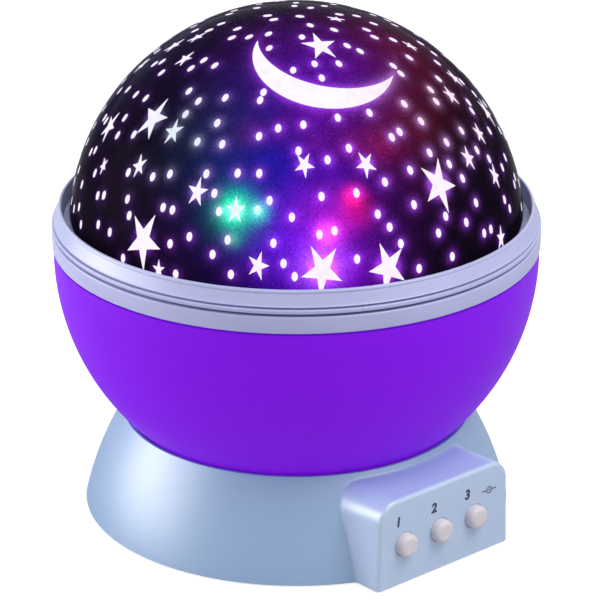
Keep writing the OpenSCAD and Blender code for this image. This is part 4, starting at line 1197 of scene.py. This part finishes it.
@dataclass
class Workings:
    """The pieces whose construction shapes are shown as they are, and the finish that each one wears."""

    wear: dict[Finish, tuple[str, ...]] = field(default_factory=lambda: {
        Finish.WHITE: ("reflector_plate", "led_post", "led_collar", "led_board"),
        Finish.GEAR: ("turntable_gear", "thrust_ring", "reduction_gear", "motor_pinion"),
        Finish.STEEL: ("plate_screws", "hub_screws", "gear_axle", "motor_shaft", "strap_screws",
                       "door_screws", "case_screws", "battery_springs", "battery_contacts",
                       "board_screws", "button_board_screws"),
        Finish.CAN: ("drive_motor", "motor_strap", "battery_cells"),
        Finish.BASE: ("bottom_cover", "battery_door"),
        Finish.RUBBER: ("rubber_feet",),
        Finish.BOARD: ("main_board", "button_board"),
        Finish.BLACK: ("board_parts", "button_switches", "dc_jack"),
        Finish.WIRE: ("led_wires", "motor_wires", "harness_wires"),
        Finish.DOME: ("leds",)})

    def build(self) -> None:
        """Gives each kept piece its finish."""
        for finish, names in self.wear.items():
            for name in names:
                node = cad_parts[name]
                node.data.materials.clear()
                node.data.materials.append(material(finish))
                LOG.info("%s wears %s", name, finish.value.name)


# ---- studio


@dataclass
class Studio:
    """A pale floor, a white surround, soft lights and the camera."""

    azimuth: float = -41.4
    elevation: float = 22.64
    distance: float = 949.2
    target_z: float = 57.05
    focal_px: float = 3534.0
    frame_px: float = 600.0
    axis_px: float = 296.5
    sensor: float = 36.0
    floor_half: float = 12.0
    floor_grey: tuple[float, float, float, float] = (0.62, 0.62, 0.64, 1.0)
    floor_lift: float = 0.8
    ambient: float = 0.35

    def toward(self, azimuth: float, elevation: float) -> Vector:
        """Unit vector from the object to a place at an azimuth and an elevation in degrees."""
        a, e = math.radians(azimuth), math.radians(elevation)
        return Vector((math.sin(a) * math.cos(e), -math.cos(a) * math.cos(e), math.sin(e)))

    def camera(self) -> None:
        """Places the camera, with the small sideways shift that frames the object."""
        data = bpy.data.cameras.new("camera")
        data.sensor_width = self.sensor
        data.lens = self.focal_px * self.sensor / self.frame_px
        data.shift_x = (self.frame_px / 2 - self.axis_px) / self.frame_px
        data.clip_start, data.clip_end = 0.05, 50
        eye = show("camera", data)
        back = self.toward(self.azimuth, self.elevation)
        eye.location = Vector((0, 0, self.target_z * MM)) + back * self.distance * MM
        eye.rotation_mode = "QUATERNION"
        eye.rotation_quaternion = (-back).to_track_quat("-Z", "Y")
        bpy.context.scene.camera = eye

    def lamp(self, name: str, turn: float, elevation: float, away: float, size: float,
             power: float) -> None:
        """Adds a square soft light.

        Args:
            name: The light's name.
            turn: Azimuth from the camera's, in degrees; positive is to the camera's right.
            elevation: Height above the floor in degrees.
            away: Distance from the object in metres.
            size: Side of the square in metres.
            power: Power in watts.
        """
        data = bpy.data.lights.new(name, "AREA")
        data.size, data.energy = size, power
        light = show(name, data)
        way = self.toward(self.azimuth + turn, elevation)
        light.location = way * away + Vector((0, 0, 0.06))
        light.rotation_mode = "QUATERNION"
        light.rotation_quaternion = way.to_track_quat("Z", "Y")

    def surround(self) -> None:
        """White to the camera, to gloss and through clear plastic; a soft grey as a light."""
        world = bpy.data.worlds.new("surround")
        bpy.context.scene.world = world
        world.use_nodes = True
        tree = world.node_tree
        path = add_node(tree, "LightPath")
        seen = add_node(tree, "Math", {
            0: path.outputs["Is Camera Ray"], 1: path.outputs["Is Transmission Ray"]}, operation="MAXIMUM")
        seen = add_node(tree, "Math", {0: seen.outputs[0], 1: path.outputs["Is Glossy Ray"]},
                        operation="MAXIMUM")
        strength = add_node(tree, "MapRange", {
            "Value": seen.outputs[0], "To Min": self.ambient, "To Max": 1.0})
        feed(tree, tree.nodes["Background"], {"Strength": strength.outputs["Result"], "Color": (1, 1, 1, 1)})

    def floor(self) -> None:
        """A wide pale floor that keeps the object's shadow and is otherwise near white."""
        mesh = bpy.data.meshes.new("floor")
        far = self.floor_half
        mesh.from_pydata([(-far, -far, 0), (far, -far, 0), (far, far, 0), (-far, far, 0)], [], [(0, 1, 2, 3)])
        floor = show("floor", mesh)
        mat = bpy.data.materials.new("pale_floor")
        mat.use_nodes = True
        tree = mat.node_tree
        tree.nodes.clear()
        path = add_node(tree, "LightPath")
        matt = add_node(tree, "BsdfDiffuse", {"Color": self.floor_grey})
        lift = add_node(tree, "Emission", {"Color": (1, 1, 1, 1)})
        strength = add_node(tree, "Math", {0: path.outputs["Is Camera Ray"], 1: self.floor_lift},
                            operation="MULTIPLY")
        tree.links.new(strength.outputs[0], lift.inputs["Strength"])
        both = add_node(tree, "AddShader", {0: matt.outputs[0], 1: lift.outputs[0]})
        add_node(tree, "OutputMaterial", {"Surface": both.outputs[0]})
        mesh.materials.append(mat)

    def build(self) -> None:
        """Sets the stage."""
        self.camera()
        self.surround()
        self.floor()
        self.lamp("key", -84, 11, 0.9, 0.6, 5.0)
        self.lamp("sheen", -104, 8, 0.9, 0.5, 3.1)
        self.lamp("fill", 58, 18, 1.1, 0.8, 1.6)
        self.lamp("crown", 58, 58, 1.0, 0.6, 7.2)
        bpy.context.scene.view_settings.view_transform = "Standard"


def main() -> None:
    """Builds the object and its stage, and reports each piece."""
    logging.basicConfig(level=logging.INFO, format="%(name)s: %(message)s")
    for part in (Studio(), DomeCover(), Globe(), BaseHousing(), Workings()):
        part.build()


if __name__ == "__main__":
    main()
